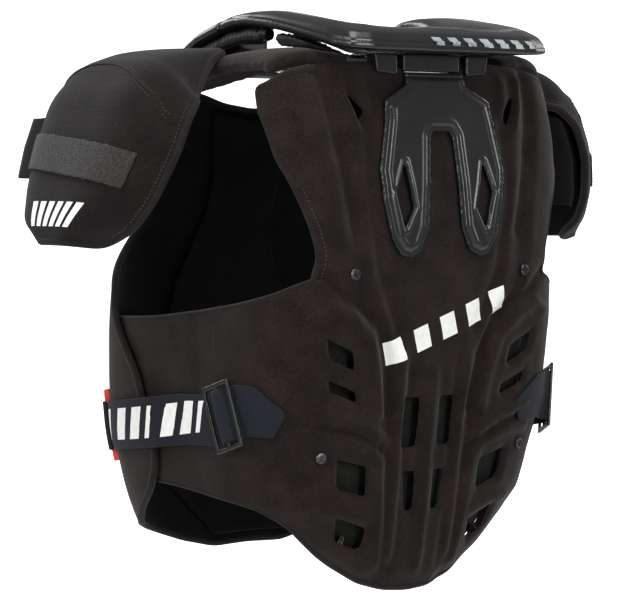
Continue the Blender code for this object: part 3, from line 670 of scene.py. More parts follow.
def backHeight(column, level):
    hem = softTable(vest["hem"], column, 0.05)[0]
    split = softTable(vest["split"], column, 0.04)[0]
    top = softTable(vest["backTop"], column, 0.03)[0]
    share = hem + (split - hem) * level if level <= 1 else split + (top - split) * (level - 1)
    return -share * vest["drop"]


def backPoint(column, level, out=0.0):
    z = backHeight(column, level)
    share = -z / vest["drop"]
    edge = softTable(vest["backEdge"], share, 0.012)[0] * vest["half"]
    if column > 1:
        start = angleAt(edge, z)
        return vestPoint(start + (vest["wingEnd"] - start) * (column - 1), z, out)
    middle, depth = softTable(vest["groove"], share, 0.02)
    x = edge * column
    dip = depth * max(0.0, 1 - abs(x - middle * vest["half"]) / backPlan["grooveHalf"]) ** 0.8
    tuck = readTable(vest["hemTuck"], max(0.0, level))[0] * min(1.0, (1.0 - column) * 5)
    return backAt(x, z, out - dip) - Vector((0, tuck, 0))


def roundedCorners(corners, side, rounds=4):
    run = [Vector((side * x * vest["half"], -s * vest["drop"])) for x, s in corners]
    run = evenly(run, backPlan["cornerStep"], closed=True)
    for _ in range(rounds):
        run = [(run[k - 1] + run[k] * 2 + run[(k + 1) % len(run)]) / 4 for k in range(len(run))]
    return [tuple(p) for p in run]


windowRuns = [roundedCorners(corners, side) for side in (1, -1) for corners in backPlan["windows"]]


def mouldingOf(spots, runs, gain):  # rounded welts along the runs, at each flat spot
    total = np.zeros(len(spots))
    for run, width, height in runs:
        away = distanceTo(spots, segmentsOf(list(run), False))
        total += gain * height * np.exp(-(away / width) ** 2)
    return total


def cutWindow(bm, run):  # removes the faces inside the run and draws the edge on to it
    snap = backPlan["snap"]
    low = (min(p[0] for p in run), min(p[1] for p in run))
    high = (max(p[0] for p in run), max(p[1] for p in run))
    gone = []
    for face in bm.faces:
        c = face.calc_center_median()
        if c.y > 0 and low[0] < c.x < high[0] and low[1] < c.z < high[1] and inside(c.x, c.z, run):
            gone.append(face)
    bmesh.ops.delete(bm, geom=gone, context="FACES")
    pairs = segmentsOf([Vector(p) for p in run])
    for vert in bm.verts:
        beside = low[0] - snap < vert.co.x < high[0] + snap
        near = beside and low[1] - snap < vert.co.z < high[1] + snap
        if vert.is_boundary and vert.co.y > 0 and near:
            spot = nearestOn(Vector((vert.co.x, vert.co.z)), pairs)
            if (spot - Vector((vert.co.x, vert.co.z))).length < snap:
                lifted = backAt(spot.x, spot.y).y - backAt(vert.co.x, vert.co.z).y
                vert.co = (spot.x, vert.co.y + lifted, spot.y)


def buildBack():
    panel, wing, rows = backPlan["columns"], backPlan["wingColumns"], backPlan["rows"]
    total = 2 * (panel + wing)

    def columnOf(u):
        step = abs(u - 0.5) * total
        return step / panel if step <= panel else 1 + (step - panel) / wing

    bm = bmesh.new()
    bmesh.ops.create_grid(bm, x_segments=total, y_segments=rows, size=0.5)
    layer = bm.loops.layers.uv.new("cover")
    spots = {v: (v.co.x + 0.5, v.co.y + 0.5) for v in bm.verts}
    gone = []
    for face in bm.faces:
        u, v = np.mean([spots[vert] for vert in face.verts], axis=0)
        if columnOf(u) > 1 and v > 0.5:
            gone.append(face)
    bmesh.ops.delete(bm, geom=gone, context="FACES")
    for vert in bm.verts:
        u, v = spots[vert]
        point = backPoint(columnOf(u), 2 * v)
        vert.co = (copysign(point.x, u - 0.5) if abs(u - 0.5) > 1e-6 else 0, point.y, point.z)
    for face in bm.faces:
        for loop in face.loops:
            loop[layer].uv = (loop.vert.co.x + loop.vert.co.y, loop.vert.co.z)
    for run in windowRuns:
        cutWindow(bm, run)
    spotsFlat = np.array([(v.co.x, v.co.z) for v in bm.verts])
    mirrored = np.column_stack((np.abs(spotsFlat[:, 0]), spotsFlat[:, 1]))
    behind = np.array([v.co.y > 0.02 for v in bm.verts])
    relief = mouldingOf(mirrored, backPlan["ridges"], backPlan["ridgeGain"])
    relief -= mouldingOf(mirrored, backPlan["valleys"], backPlan["valleyGain"])
    for run in windowRuns:
        away = distanceTo(spotsFlat, segmentsOf(run))
        relief -= backPlan["windowDip"] * np.clip(1 - away / backPlan["windowReach"], 0, 1) ** 2
    for vert, mould, rear in zip(bm.verts, relief, behind):
        soft = sum(height * noise.noise(vert.co * scale) for scale, height in backPlan["softFolds"])
        vert.co += outwardAt(vert.co) * ((mould if rear else 0.0) + soft)
    bm.normal_update()
    turnInwards(bm, Vector((0, vest["axisY"], -0.2)))
    chains = edgeChains(bm)
    rims = [[v.co.copy() for v in chain] for chain in chains]
    weights = [min(1.0, max(0.0, (1.05 - columnOf(spots[vert][0])) / 0.15)) for vert in bm.verts]
    obj = finishPiece(bm, "backPanel", [finishes["shellCloth"], finishes["lining"]], ("back_shell",),
                      recalc=False)
    setGroup(obj, "pad", weights)
    thicken(obj, vest["padThick"], "pad", vest["wingThick"] / vest["padThick"])
    obj.data.shade_smooth()
    obj.data.set_sharp_from_angle(angle=radians(50))
    return obj, rims


backPanel, backRims = buildBack()
backRims.sort(key=len, reverse=True)
print("back panel", len(backPanel.data.polygons))


bindPlan = {"step": 0.003, "passes": 2, "proud": 0.0005, "capProud": 0.0004}


def rimBand(name, run, thickAt):  # the binding round a panel's rim, half way through its wall
    points, radii = [], []
    for point in smoothRun(evenly(run, bindPlan["step"], closed=True)[:-1], bindPlan["passes"]):
        out = Vector((point.x, point.y - vest["axisY"], 0)).normalized()
        thick = thickAt(point)
        points.append(point - out * thick / 2)
        radii.append(thick / 2 + bindPlan["proud"])
    return bandTube(name, points, radii, finishes["binding"])


def bandTube(name, points, radii, mat, closed=True):
    curve = bpy.data.curves.new(name, "CURVE")
    curve.dimensions = "3D"
    curve.bevel_depth = 1.0
    curve.bevel_resolution = 2
    curve.use_fill_caps = True
    spline = curve.splines.new("POLY")
    spline.points.add(len(points) - 1)
    for spot, point, radius in zip(spline.points, points, radii):
        spot.co = (*point, 1)
        spot.radius = radius
    spline.use_cyclic_u = closed
    source = bpy.data.objects.new(name + "Curve", curve)
    bpy.context.scene.collection.objects.link(source)
    mesh = bpy.data.meshes.new_from_object(source.evaluated_get(bpy.context.evaluated_depsgraph_get()))
    bpy.data.objects.remove(source)
    bm = bmesh.new()
    bm.from_mesh(mesh)
    bmesh.ops.remove_doubles(bm, verts=bm.verts, dist=1e-6)
    return finishPiece(bm, name, [mat])


def backThickness(point):
    share = -point.z / vest["drop"]
    edge = readTable(vest["backEdge"], share)[0] * vest["half"]
    if point.y < 0 or abs(point.x) > edge * 1.03:
        return vest["wingThick"]
    column = abs(point.x) / max(0.02, edge)
    padded = min(1.0, max(0.0, (1.0 - column) / 0.12))
    return vest["wingThick"] + (vest["padThick"] - vest["wingThick"]) * padded


rimBand("backBinding", backRims[0], backThickness)

# net behind the windows
netPlan = {"columns": 0.88, "low": 0.03, "rise": 1.87, "gap": 0.0042, "thick": 0.0015, "cover": (0.24, 0.40)}


def netPoint(u, v):
    level = netPlan["low"] + netPlan["rise"] * v
    point = backPoint(abs(2 * u - 1) * netPlan["columns"], level, -vest["padThick"] - netPlan["gap"])
    return Vector((copysign(point.x, u - 0.5), point.y, point.z))


netSheet = gridSheet(90, 90, netPoint)
turnInwards(netSheet, Vector((0, 0, -0.2)))
netPiece = finishPiece(netSheet, "netSheet", [finishes["net"]], ("back_mesh",), recalc=False)
coverInMetres(netPiece, *netPlan["cover"])
thicken(netPiece, netPlan["thick"])
print("net")


# front panel and its lining
frontPlan = {"cover": (0.42, 0.37), "liner": (0.40, 0.02, 0.96), "linerThick": 0.0015}


def frontPoint(column, level, out=vest["frontOut"]):
    hem = softTable(vest["frontHem"], abs(column), 0.05)[0]
    top = softTable(vest["frontTop"], abs(column), 0.05)[0]
    share = hem + (top - hem) * level
    edge = radians(90 - softTable(vest["frontEdge"], share, 0.015)[0])
    return vestPoint(edge * column - pi / 2, -share * vest["drop"], out)


frontGrid = gridSheet(110, 90, lambda u, v: frontPoint(1 - 2 * u, v))
turnInwards(frontGrid, Vector((0, 0, -0.2)))
frontRim = [v.co.copy() for v in edgeChains(frontGrid)[0]]
frontPanel = finishPiece(frontGrid, "frontPanel", [finishes["shellCloth"], finishes["lining"]],
                         ("front_shell",), recalc=False)
coverInMetres(frontPanel, *frontPlan["cover"])
thicken(frontPanel, vest["frontThick"])


def lineInside(obj, centre):  # the second material goes on the faces that look towards the centre
    count = len(obj.data.polygons)
    normals, middles = np.empty(count * 3), np.empty(count * 3)
    obj.data.polygons.foreach_get("normal", normals)
    obj.data.polygons.foreach_get("center", middles)
    towards = ((middles.reshape(-1, 3) - np.array(centre)) * normals.reshape(-1, 3)).sum(axis=1) < 0
    obj.data.polygons.foreach_set("material_index", towards.astype(np.int32))


lineInside(frontPanel, (0, vest["axisY"], -0.2))
frontPanel.data.shade_smooth()
frontPanel.data.set_sharp_from_angle(angle=radians(50))
rimBand("frontBinding", frontRim, lambda point: vest["frontThick"])


def linerPoint(u, v):
    half, low, rise = frontPlan["liner"]
    ripple = 0.0005 * noise.noise(Vector((u * 5, v * 5, 0.3)))
    return frontPoint(half - 2 * half * u, low + rise * v, -0.0002 + ripple)


linerGrid = gridSheet(70, 80, linerPoint)
turnInwards(linerGrid, Vector((0, 0, -0.2)))
liner = finishPiece(linerGrid, "frontLiner", [finishes["lining"]], ("front_liner",),
                    recalc=False)
thicken(liner, frontPlan["linerThick"])
print("front panel")

# shoulder yokes and the brace's padding
for word in ("left", "right"):
    yoke = softCopy(f"yoke_{word}", f"shoulderPad_{word}", 0.0022, 14, [finishes["shellCloth"]])
    inflate(yoke)


def studded(obj):  # low round studs over the pad
    spots, normals = readVerts(obj.data)
    x, y, z = (spots * (2 * pi / studPlan["pitch"])).T
    bump = np.maximum(0.0, np.sin(x + y) * np.sin(y - x) * np.sin(z * 1.2 + 0.6))
    writeVerts(obj.data, spots + normals * (bump * studPlan["height"])[:, None])


studPlan = {"pitch": 0.011, "height": 0.0012}
for node, name in (("table_pad", "tablePad"), ("front_pad", "frontPad")):
    pad = softCopy(node, name, 0.0014, 10, [finishes["studs"]], studded)
print("padding")

# neck brace
brace = {
    "rear": 0.138, "lipAt": (0.0, 0.24, 0.43, 0.67, 0.83, 1.0),  # shares of the rear, from the neck back
    "lip": (0.042, 0.038, 0.033, 0.026, 0.021, 0.018),
    "scoop": 0.0024, "scoopAt": (0.047, 0.098), "scoopHalf": 0.030, "lipGroove": 0.0010,
    "bootRing": 0.0052, "bootWave": 0.00055,
}


def sculptTable(obj):  # a lip line round the table, and shallow scoops behind the neck
    spots, normals = readVerts(obj.data)
    x, y, z = spots.T.copy()
    upper = (y > 0.05) & (normals[:, 2] > 0.5)
    across = np.maximum(0, 1 - ((np.abs(x) - brace["scoopAt"][0]) / brace["scoopHalf"]) ** 2)
    along = np.maximum(0, 1 - ((y - brace["scoopAt"][1]) / brace["scoopHalf"]) ** 2)
    spots[:, 2] -= np.where(upper, brace["scoop"] * across * along, 0)
    outward = np.where(np.abs(x) > 0.09, normals[:, 0] * np.sign(x), normals[:, 1])
    lip = np.interp(y / brace["rear"], brace["lipAt"], brace["lip"])
    groove = brace["lipGroove"] * np.maximum(0, 1 - np.abs(z - lip - 0.0012) / 0.0013)
    spots -= normals * np.where(outward > 0.3, groove, 0)[:, None]
    writeVerts(obj.data, spots)


def ringed(obj):  # rings moulded round the boot
    spots, normals = readVerts(obj.data)
    wave = np.sin(spots[:, 1] * 2 * pi / brace["bootRing"])
    writeVerts(obj.data, spots + normals * (brace["bootWave"] * wave)[:, None])


table = softCopy("brace_table", "braceTable", 0.0012, 44, [finishes["plastic"]], sculptTable)
softCopy("brace_front", "braceFront", 0.0012, 26, [finishes["plastic"]])
softCopy("strut_neck", "strutNeck", 0.0008, 8, [finishes["plastic"]])
for word in ("left", "right"):
    softCopy(f"table_lug_{word}", f"tableLug_{word}", 0.0007, 7, [finishes["gloss"]])
    softCopy(f"arm_collar_{word}", f"armCollar_{word}", 0.0006, 6, [finishes["plastic"]])
    softCopy(f"arm_boot_{word}", f"armBoot_{word}", 0.0007, 5, [finishes["rubber"]], ringed)
print("brace")

# thoracic plate
platePlan = {
    "outline": ((0.19, 0.006), (0.20, 0.028), (0.35, 0.058), (0.365, 0.095), (0.42, 0.190), (0.405, 0.245),
                (0.355, 0.318), (0.30, 0.348), (0.235, 0.354), (0.165, 0.342), (0.115, 0.300), (0.075, 0.128),
                (0.055, 0.116)),
    "slot": ((0.265, 0.175), (0.325, 0.232), (0.275, 0.300), (0.215, 0.262)),
    "flange": 0.0055, "flangeDrop": 0.0012, "ribCentre": 0.0078, "ribWidth": 0.0021, "ribHeight": 0.0010,
    "slotRib": 0.0030, "slotRibHeight": 0.0012, "neck": -0.030, "seam": -0.0055,
    "stitch": {"length": 0.0022, "radius": 0.0005, "lift": 0.0001},
}
halfPlate = [(x * vest["half"], -s * vest["drop"]) for x, s in platePlan["outline"]]
plateRun = halfPlate + [(-x, z) for x, z in reversed(halfPlate)]
slotRuns = [[(side * x * vest["half"], -s * vest["drop"]) for x, s in platePlan["slot"]]
            for side in (1, -1)]


def sculptPlate(obj):
    places, normals = readVerts(obj.data)
    spots = places[:, [0, 2]]
    edge = distanceTo(spots, segmentsOf(plateRun))
    slot = np.minimum(*[distanceTo(spots, segmentsOf(run)) for run in slotRuns])
    rise = -platePlan["flangeDrop"] * np.clip((platePlan["flange"] - edge) / 0.0012, 0, 1)
    rise += platePlan["ribHeight"] * np.exp(-((edge - platePlan["ribCentre"]) / platePlan["ribWidth"]) ** 2)
    rise += platePlan["slotRibHeight"] * np.exp(-((slot - platePlan["slotRib"]) / 0.0016) ** 2)
    rise[spots[:, 1] > platePlan["neck"]] *= 0.25
    rise[np.abs(spots[:, 1] - platePlan["seam"]) < 0.0008] -= 0.0005
    places[:, 1] += np.where(normals[:, 1] > 0.35, rise, 0)
    writeVerts(obj.data, places)


plate = softCopy("thoracic_plate", "thoracicPlate", 0.0009, 6, [finishes["plastic"]],
                 sculptPlate)
plateTree = BVHTree.FromObject(plate, bpy.context.evaluated_depsgraph_get())


def onPlate(point):
    hit = plateTree.ray_cast(Vector((point.x, 0.3, point.z)), Vector((0, -1, 0)))[0]
    return Vector((point.x, hit.y if hit else 0.12, point.z))


dashRuns = []
for side in (1, -1):
    toe = [Vector((side * x * vest["half"], 0, -s * vest["drop"])) for x, s in platePlan["outline"][4:9]]
    inner = [Vector((p.x - side * 0.0032 * (1 - k / 5), 0, p.z + 0.0028 * k / 4)) for k, p in enumerate(toe)]
    run = [inner[k].lerp(inner[k + 1], t / 6) for k in range(3) for t in range(6)] + [inner[3]]
    dashRuns.append([onPlate(point) for point in run])
stitchRuns("plateDashes", dashRuns, finishes["gloss"], plateTree, **platePlan["stitch"])
print("plate")

# shoulder caps
capPlan = {
    "rows": ((0.0, 0.116, 0.0185, -0.020, 0.012), (0.05, 0.134, 0.0185, -0.034, 0.030),
             (0.10, 0.155, 0.0175, -0.036, 0.052), (0.14, 0.180, 0.016, -0.034, 0.066),
             (0.28, 0.209, 0.006, -0.031, 0.083), (0.42, 0.233, -0.020, -0.029, 0.089),
             (0.57, 0.2475, -0.055, -0.0285, 0.0885), (0.72, 0.259, -0.089, -0.032, 0.080),
             (0.87, 0.2685, -0.117, -0.036, 0.062), (1.0, 0.271, -0.136, -0.031, 0.031)),
    "curl": ((0.0, 0.0), (0.2, 0.001), (0.4, 0.016), (0.6, 0.10), (0.8, 0.37), (1.0, 1.0)),
    "curlStart": ((0.0, 0.05), (0.05, 0.15), (0.10, 0.5), (0.14, 1.0)),
    "curlFront": 0.024, "curlRear": 0.038, "soft": 0.035, "corner": (0.42, 0.14), "cornerStart": 0.84,
    "thick": 0.006, "cupThick": 0.003, "cupGap": 0.011, "centre": (0.165, -0.03, -0.10),
    "cover": (0.180, 0.240), "tapeEnd": 0.80, "tapeRow": 0.69, "tapeSlant": 0.038, "tapeWidth": 0.12,
    "tapeLift": 0.0022, "tapeThick": 0.0022, "seamGap": 0.022, "welt": 0.0011, "loopBow": 0.010,
    "seam": ((0.34, -0.93), (0.30, -0.70), (0.27, -0.40), (0.27, -0.05), (0.30, 0.30), (0.36, 0.62),
             (0.45, 0.90)),
}
capCentre = Vector(capPlan["centre"])


def capPoint(q, p, out=0.0):
    x, z, middle, half = softTable(capPlan["rows"], q, capPlan["soft"])
    ahead = softTable(capPlan["rows"], min(1, q + 0.07), capPlan["soft"])
    behind = softTable(capPlan["rows"], max(0, q - 0.07), capPlan["soft"])
    turn = min(1.0, max(0.0, (q - capPlan["cornerStart"]) / (1 - capPlan["cornerStart"])))
    p *= 1 - capPlan["corner"][0 if p < 0 else 1] * (1 - (1 - turn * turn) ** 0.5)
    normal = Vector((behind[1] - ahead[1], 0, ahead[0] - behind[0])).normalized()
    curl = capPlan["curlRear"] if p > 0 else capPlan["curlFront"]
    curl *= softTable(capPlan["curl"], abs(p), 0.08)[0] * softTable(capPlan["curlStart"], q, 0.03)[0]
    return Vector((x, middle + half * p, z)) + normal * (out - curl)


def bothSides(obj, stem, replaced):
    obj.name = f"{stem}_left"
    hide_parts(*[f"{r}_left" for r in replaced])
    other = mirrorPiece(obj, f"{stem}_right", [f"{r}_right" for r in replaced])
    return other


def sideGrid(columns, rows, place, size):
    bm = gridSheet(columns, rows, place)
    layer = bm.loops.layers.uv["cover"]
    for face in bm.faces:
        for loop in face.loops:
            loop[layer].uv = (loop[layer].uv.x * size[0], loop[layer].uv.y * size[1])
    turnInwards(bm, capCentre)
    return bm


def capFace(u, v):
    return capPoint(1 - v, 1 - 2 * u, 0.0006 * noise.noise(Vector((u * 4, v * 4, 2))))


capGrid = sideGrid(110, 110, capFace, capPlan["cover"])
capRim = [v.co.copy() for v in edgeChains(capGrid)[0]]
cap = finishPiece(capGrid, "shoulderCap", [finishes["capCloth"], finishes["lining"]], (),
                  recalc=False)
thicken(cap, capPlan["thick"])
lineInside(cap, capCentre)
cap.data.shade_smooth()
cap.data.set_sharp_from_angle(angle=radians(50))
bothSides(cap, "shoulderCap", ["cap"])
capTree = BVHTree.FromObject(cap, bpy.context.evaluated_depsgraph_get())

# the bound edge sits half way through the cap's wall
capEdge = smoothRun(evenly(capRim, bindPlan["step"], closed=True)[:-1], bindPlan["passes"])
edgeSpots = [point - (point - capCentre).normalized() * capPlan["thick"] / 2 for point in capEdge]
edgeRadii = [capPlan["thick"] / 2 + bindPlan["capProud"]] * len(edgeSpots)
capBinding = bandTube("capBinding", edgeSpots, edgeRadii, finishes["binding"])
bothSides(capBinding, "capBinding", [])


def tapeRow(p, down):  # where the strip lies on the cap, down from its lower edge
    return capPlan["tapeRow"] + capPlan["tapeSlant"] * p - down


def tapePoint(u, v):
    p = capPlan["tapeEnd"] * (1 - 2 * u)
    nap = 0.0006 * noise.noise(Vector((u * 60, v * 30, 0)))
    return capPoint(tapeRow(p, capPlan["tapeWidth"] * v), p, capPlan["tapeLift"] + nap)


tape = finishPiece(sideGrid(150, 40, tapePoint, (0.14, 0.035)), "pileTape", [finishes["pile"]], (),
                   recalc=False)
thicken(tape, capPlan["tapeThick"])
bothSides(tape, "pileTape", ["cap_tape"])


def cupPoint(u, v):
    return capPoint(0.79 - 0.37 * v, 0.8 - 1.6 * u, -capPlan["thick"] - capPlan["cupGap"])


cup = finishPiece(sideGrid(60, 50, cupPoint, (0.13, 0.07)), "capCup", [finishes["lining"]], (),
                  recalc=False)
thicken(cup, capPlan["cupThick"])
bothSides(cup, "capCup", ["cup"])


def bowed(obj):  # the elastic bows outwards ahead of the cap, its ends stay at the edge
    spots, _ = readVerts(obj.data)
    bow = np.clip((spots[:, 1].max() - spots[:, 1]) / 0.020, 0, 1)
    spots[:, 0] += np.sign(spots[:, 0]) * capPlan["loopBow"] * bow * bow * (3 - 2 * bow)
    writeVerts(obj.data, spots)


for word in ("left", "right"):
    softCopy(f"arm_loop_{word}", f"armLoop_{word}", 0.0008, 14, [finishes["tape"]], bowed)
print("caps")

# stitching on the cap: two curved rows, the strip's edges and the cap's front and rear edge


def seamRun(gap):
    return [capPoint(q + gap, p) for q, p in capPlan["seam"]]


runs = [seamRun(0), seamRun(capPlan["seamGap"])]
runs += [[capPoint(tapeRow(p, down), p) for p in np.linspace(0.78, -0.78, 24)] for down in (0.006, 0.114)]
runs += [[capPoint(0.04 + 0.9 * t, p) for t in np.linspace(0.12, 1, 40)] for p in (0.955, -0.955)]
capStitches = stitchRuns("capStitches", runs, finishes["thread"], capTree)
bothSides(capStitches, "capStitches", [])
weltRun = smoothRun(evenly(seamRun(capPlan["seamGap"] / 2), 0.006), 4, closed=False)
weltSpots = []
for spot in evenly(weltRun, 0.003):
    hit, normal, _, _ = capTree.find_nearest(spot)
    weltSpots.append(hit + normal * 0.0001)
capWelt = bandTube("capWelt", weltSpots, [capPlan["welt"]] * len(weltSpots), finishes["binding"],
                   closed=False)
bothSides(capWelt, "capWelt", [])
print("cap stitches")


# webbing straps, sliders, clips
def strapCopy(node, name):
    bm = bmesh.new()
    bm.from_mesh(nodes[node].data)
    bmesh.ops.remove_doubles(bm, verts=bm.verts, dist=1e-5)
    bmesh.ops.join_triangles(bm, faces=bm.faces, angle_face_threshold=radians(25),
                             angle_shape_threshold=radians(40))
    obj = finishPiece(bm, name, [finishes["webbing"]], (node,))
    fine = obj.modifiers.new("fine", "SUBSURF")
    fine.subdivision_type = "SIMPLE"
    fine.levels = 2
    fine.render_levels = 2
    relax = obj.modifiers.new("relax", "SMOOTH")
    relax.factor = 0.5
    relax.iterations = 5
    applied(obj)
    layer = obj.data.uv_layers.new(name="cover")
    for loop in obj.data.loops:
        co = obj.data.vertices[loop.vertex_index].co
        layer.data[loop.index].uv = (0.14 * atan2(co.y - vest["axisY"], abs(co.x)), co.z)
    obj.data.shade_smooth()
    return obj


straps = {word: strapCopy(f"side_strap_{word}", f"sideStrap_{word}") for word in ("left", "right")}
for word in ("left", "right"):
    softCopy(f"slider_{word}", f"slider_{word}_fine", 0.0006, 4, [finishes["plastic"]])
    softCopy(f"clip_{word}", f"clip_{word}_fine", 0.0006, 5, [finishes["redPlastic"]])
print("straps")

# angles in radians, but for the bars' starts, widths and slant, in degrees round the vest
webPlan = {
    "route": ((-0.9, 0.708), (0.1, 0.657), (0.6, 0.642)), "end": radians(-47), "foldStart": radians(1.5),
    "foldReach": radians(6.4), "fold": ((0.0, 0.0112), (0.15, 0.0150), (0.8, 0.0150), (1.0, 0.0085)),
    "foldThick": 0.0013, "starts": (-43, -35.4, -27.8, -20.2, -12.6, -5.0, 2.2), "width": 4.6, "thin": 0.45,
    "slant": 2.4, "half": 0.0130, "off": 0.018,
}


def strapHeight(angle):
    return -vest["drop"] * readTable(webPlan["route"], angle)[0]


def foldPoint(u, v):
    angle = webPlan["end"] + webPlan["foldStart"] - webPlan["foldReach"] * u
    z = strapHeight(webPlan["end"]) + (v - 0.5) * vest["webWidth"]
    return vestPoint(angle, z, softTable(webPlan["fold"], u, 0.04)[0])


fold = gridSheet(24, 20, foldPoint)
layer = fold.loops.layers.uv["cover"]
for face in fold.faces:
    for loop in face.loops:
        loop[layer].uv = (loop[layer].uv.x * 0.02, loop[layer].uv.y * vest["webWidth"])
turnInwards(fold, Vector((0, 0, -0.28)))
strapFold = finishPiece(fold, "strapFold", [finishes["webbing"]], (), recalc=False)
thicken(strapFold, webPlan["foldThick"])
bothSides(strapFold, "strapFold", [])

for word, side in (("left", 1), ("right", -1)):
    tree = BVHTree.FromObject(straps[word], bpy.context.evaluated_depsgraph_get())
    bars = []
    for k, begin in enumerate(webPlan["starts"]):
        corners = []
        width = webPlan["width"] * (1 if k % 3 else webPlan["thin"])
        for along, up in ((0, -1), (width, -1), (width + webPlan["slant"], 1), (webPlan["slant"], 1)):
            angle = radians(begin + along)
            point = vestPoint(angle, strapHeight(angle) + up * webPlan["half"], webPlan["off"])
            corners.append(Vector((point.x * side, point.y, point.z)))
        bars.append(corners)
    printShapes(f"strapPrint_{word}", tree, bars, finishes["whitePrint"])

# screws
screwPlan = {
    "radius": 0.0045, "sides": 36,
    # share of the radius, height over the face, and whether the ring is a hexagon
    "rings": ((1.0, -0.0009, False), (1.0, 0.0004, False), (0.90, 0.0010, False), (0.72, 0.0012, False),
              (0.56, 0.0012, True), (0.52, -0.0006, True)),
}


def hexShare(angle):  # how far a hexagon's side lies from its centre, as a share of its corner
    return cos(pi / 6) / cos((angle + pi / 6) % (pi / 3) - pi / 6)


for node in [n for n in nodes if n.startswith("screw_")]:
    low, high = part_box(node)
    middle = (Vector(low) + Vector(high)) / 2
    turn = Matrix.Translation(middle) @ outwardAt(middle).to_track_quat("Z", "Y").to_matrix().to_4x4()
    bm = bmesh.new()
    edges = []
    for share, height, hexagonal in screwPlan["rings"]:
        made = bmesh.ops.create_circle(bm, segments=screwPlan["sides"], radius=1.0)["verts"]
        for vert in made:
            radius = share * screwPlan["radius"] * (hexShare(atan2(vert.co.y, vert.co.x)) if hexagonal else 1)
            vert.co = (vert.co.x * radius, vert.co.y * radius, height)
        edges.append({e for v in made for e in v.link_edges})
    for first, second in zip(edges, edges[1:]):
        bmesh.ops.bridge_loops(bm, edges=list(first | second))
    for ring in (edges[0], edges[-1]):
        bmesh.ops.contextual_create(bm, geom=list(ring))
    bmesh.ops.transform(bm, matrix=turn, verts=bm.verts)
    screw = finishPiece(bm, node + "_head", [finishes["steel"]], (node,))
    screw.data.set_sharp_from_angle(angle=radians(35))
print("screws")

# stitching on the back
backTree = BVHTree.FromObject(backPanel, bpy.context.evaluated_depsgraph_get())
seamPlan = {
    "inset": 0.0065, "sideEnd": 0.19, "arm": (-0.165, -0.01),
    "short": (-0.206, -0.228), "shortAt": 10,  # degrees round the vest
}
innerRun = []
for point in evenly(backRims[0], 0.003, closed=True):
    if point.y > 0:
        beside = abs(point.z) < seamPlan["sideEnd"]
        shift = (-copysign(seamPlan["inset"], point.x), 0.001, 0) if beside else (0, 0.001, seamPlan["inset"])
        innerRun.append(point + Vector(shift))
armRuns = [[p for p in innerRun if p.x * side > 0.07 and seamPlan["arm"][0] < p.z < seamPlan["arm"][1]]
           for side in (1, -1)]
shortSeams = [[vestPoint(radians(angle), z) for z in np.linspace(*seamPlan["short"], 6)]
              for angle in (seamPlan["shortAt"], 180 - seamPlan["shortAt"])]
stitchRuns("backStitches", armRuns + shortSeams, finishes["thread"], backTree, slot="shell_cloth")
print("stitches")

# generic slanted bars where a print sits: first corner, step, and the other corners from the first
barPlan = {
    "back": {"count": 5, "first": (0.052, 0.12, -0.214), "step": (-0.026, 0, 0.0095),
             "corners": ((0, 0), (-0.014, 0.005), (-0.020, -0.013), (-0.006, -0.018))},
    "table": {"count": 7, "first": (0.026, 0.150, 0.033), "step": (-0.0165, 0, 0),
              "corners": ((0, 0), (-0.009, 0), (-0.014, -0.011), (-0.005, -0.011))},
    "cap": {"row": 0.795, "starts": (0.54, 0.37, 0.20, 0.03, -0.14, -0.31),
            "corners": ((0, 0), (0, -0.11), (0.11, -0.17), (0.11, -0.06))},
}


def flatBars(plan):
    first, step = Vector(plan["first"]), Vector(plan["step"])
    return [[first + step * k + Vector((x, 0, z)) for x, z in plan["corners"]] for k in range(plan["count"])]


def capBars(plan):
    return [[capPoint(plan["row"] + down, start + along) for down, along in plan["corners"]]
            for start in plan["starts"]]


capPrint = printShapes("capPrint", capTree, capBars(barPlan["cap"]), finishes["whitePrint"])
bothSides(capPrint, "capPrint", [])
printShapes("backPrint", backTree, flatBars(barPlan["back"]), finishes["whitePrint"],
            facing=Vector((0, 1, 0)))
tableTree = BVHTree.FromObject(table, bpy.context.evaluated_depsgraph_get())
printShapes("tablePrint", tableTree, flatBars(barPlan["table"]), finishes["greyPrint"])
print("prints")

# camera, as the photograph was taken
cameraPlan = {"place": (1.4465, 1.8044, -0.081), "towards": (-0.615, -0.7872, -0.0451), "lens": 162.1}
camera = bpy.data.objects.new("camera", bpy.data.cameras.new("camera"))
camera.data.sensor_fit = "HORIZONTAL"
camera.data.sensor_width = 36
camera.data.lens = cameraPlan["lens"]
camera.location = cameraPlan["place"]
camera.rotation_euler = Vector(cameraPlan["towards"]).to_track_quat("-Z", "Y").to_euler()
bpy.context.scene.collection.objects.link(camera)
bpy.context.scene.camera = camera

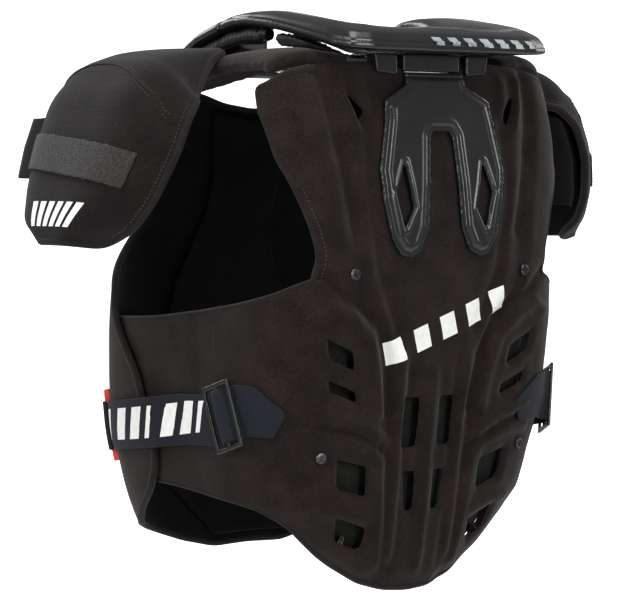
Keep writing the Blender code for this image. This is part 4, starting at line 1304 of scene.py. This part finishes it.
# pale floor, a bright wall behind the object, and soft light
studioPlan = {
    "floor": -1.30, "floorReach": 9.0, "wall": (-3.1, -3.95, -0.35), "wallReach": 1.5, "worldStrength": 0.34,
    # name, place, what it faces, its two sides in metres, watts
    "lights": (
        ("overhead", (0.5, 0.7, 1.9), (0, 0, -0.12), (1.5, 1.5), 42),
        ("rearStrip", (0.25, 2.9, 0.45), (0, 0, -0.15), (0.5, 1.7), 34),
        ("rightSide", (-2.4, 0.3, 0.7), (0, 0, -0.15), (1.0, 1.6), 18),
        ("leftSide", (2.1, 0.2, 0.5), (0, 0, -0.15), (1.0, 1.6), 26),
        ("behind", (0.4, -1.9, 1.0), (0, 0, -0.1), (1.0, 1.0), 16)),
}


def stageSheet(name, segments, reach, place, mat):
    bm = bmesh.new()
    bmesh.ops.create_grid(bm, x_segments=segments, y_segments=segments, size=reach)
    bmesh.ops.transform(bm, matrix=place, verts=bm.verts)
    mesh = bpy.data.meshes.new(name)
    bm.to_mesh(mesh)
    bm.free()
    mesh.materials.append(mat)
    obj = bpy.data.objects.new(name, mesh)
    bpy.context.scene.collection.objects.link(obj)


def softLight(name, place, towards, size, power):
    data = bpy.data.lights.new(name, "AREA")
    data.shape = "RECTANGLE"
    data.size, data.size_y = size
    data.energy = power
    obj = bpy.data.objects.new(name, data)
    obj.location = place
    obj.rotation_euler = (Vector(towards) - Vector(place)).to_track_quat("-Z", "Y").to_euler()
    bpy.context.scene.collection.objects.link(obj)


pale, paleTree, paleShader = blankFinish("paleFloor", 0.9)
paleNoise = noiseOf(paleTree, coordOf(paleTree), 3.0)
link(paleTree, rampOf(paleTree, paleNoise, 0.3, 0.7, (0.93, 0.93, 0.93), (0.95, 0.95, 0.95)),
     paleShader.inputs["Base Color"])
stageSheet("studioFloor", 8, studioPlan["floorReach"], Matrix.Translation((0, 0, studioPlan["floor"])), pale)
bright, _, brightShader = blankFinish("brightWall", 0.9)
brightShader.inputs["Emission Color"].default_value = (1, 1, 1, 1)
brightShader.inputs["Emission Strength"].default_value = 1.0
facing = Vector(cameraPlan["towards"]).to_track_quat("-Z", "Y").to_matrix().to_4x4()
stageSheet("studioWall", 4, studioPlan["wallReach"], Matrix.Translation(studioPlan["wall"]) @ facing, bright)
bpy.context.scene.view_settings.view_transform = "Standard"

world = bpy.data.worlds.new("studio")
world.use_nodes = True
background = world.node_tree.nodes["Background"]
background.inputs["Color"].default_value = (1, 1, 1, 1)
background.inputs["Strength"].default_value = studioPlan["worldStrength"]
bpy.context.scene.world = world
for light in studioPlan["lights"]:
    softLight(*light)

print("scene ready")
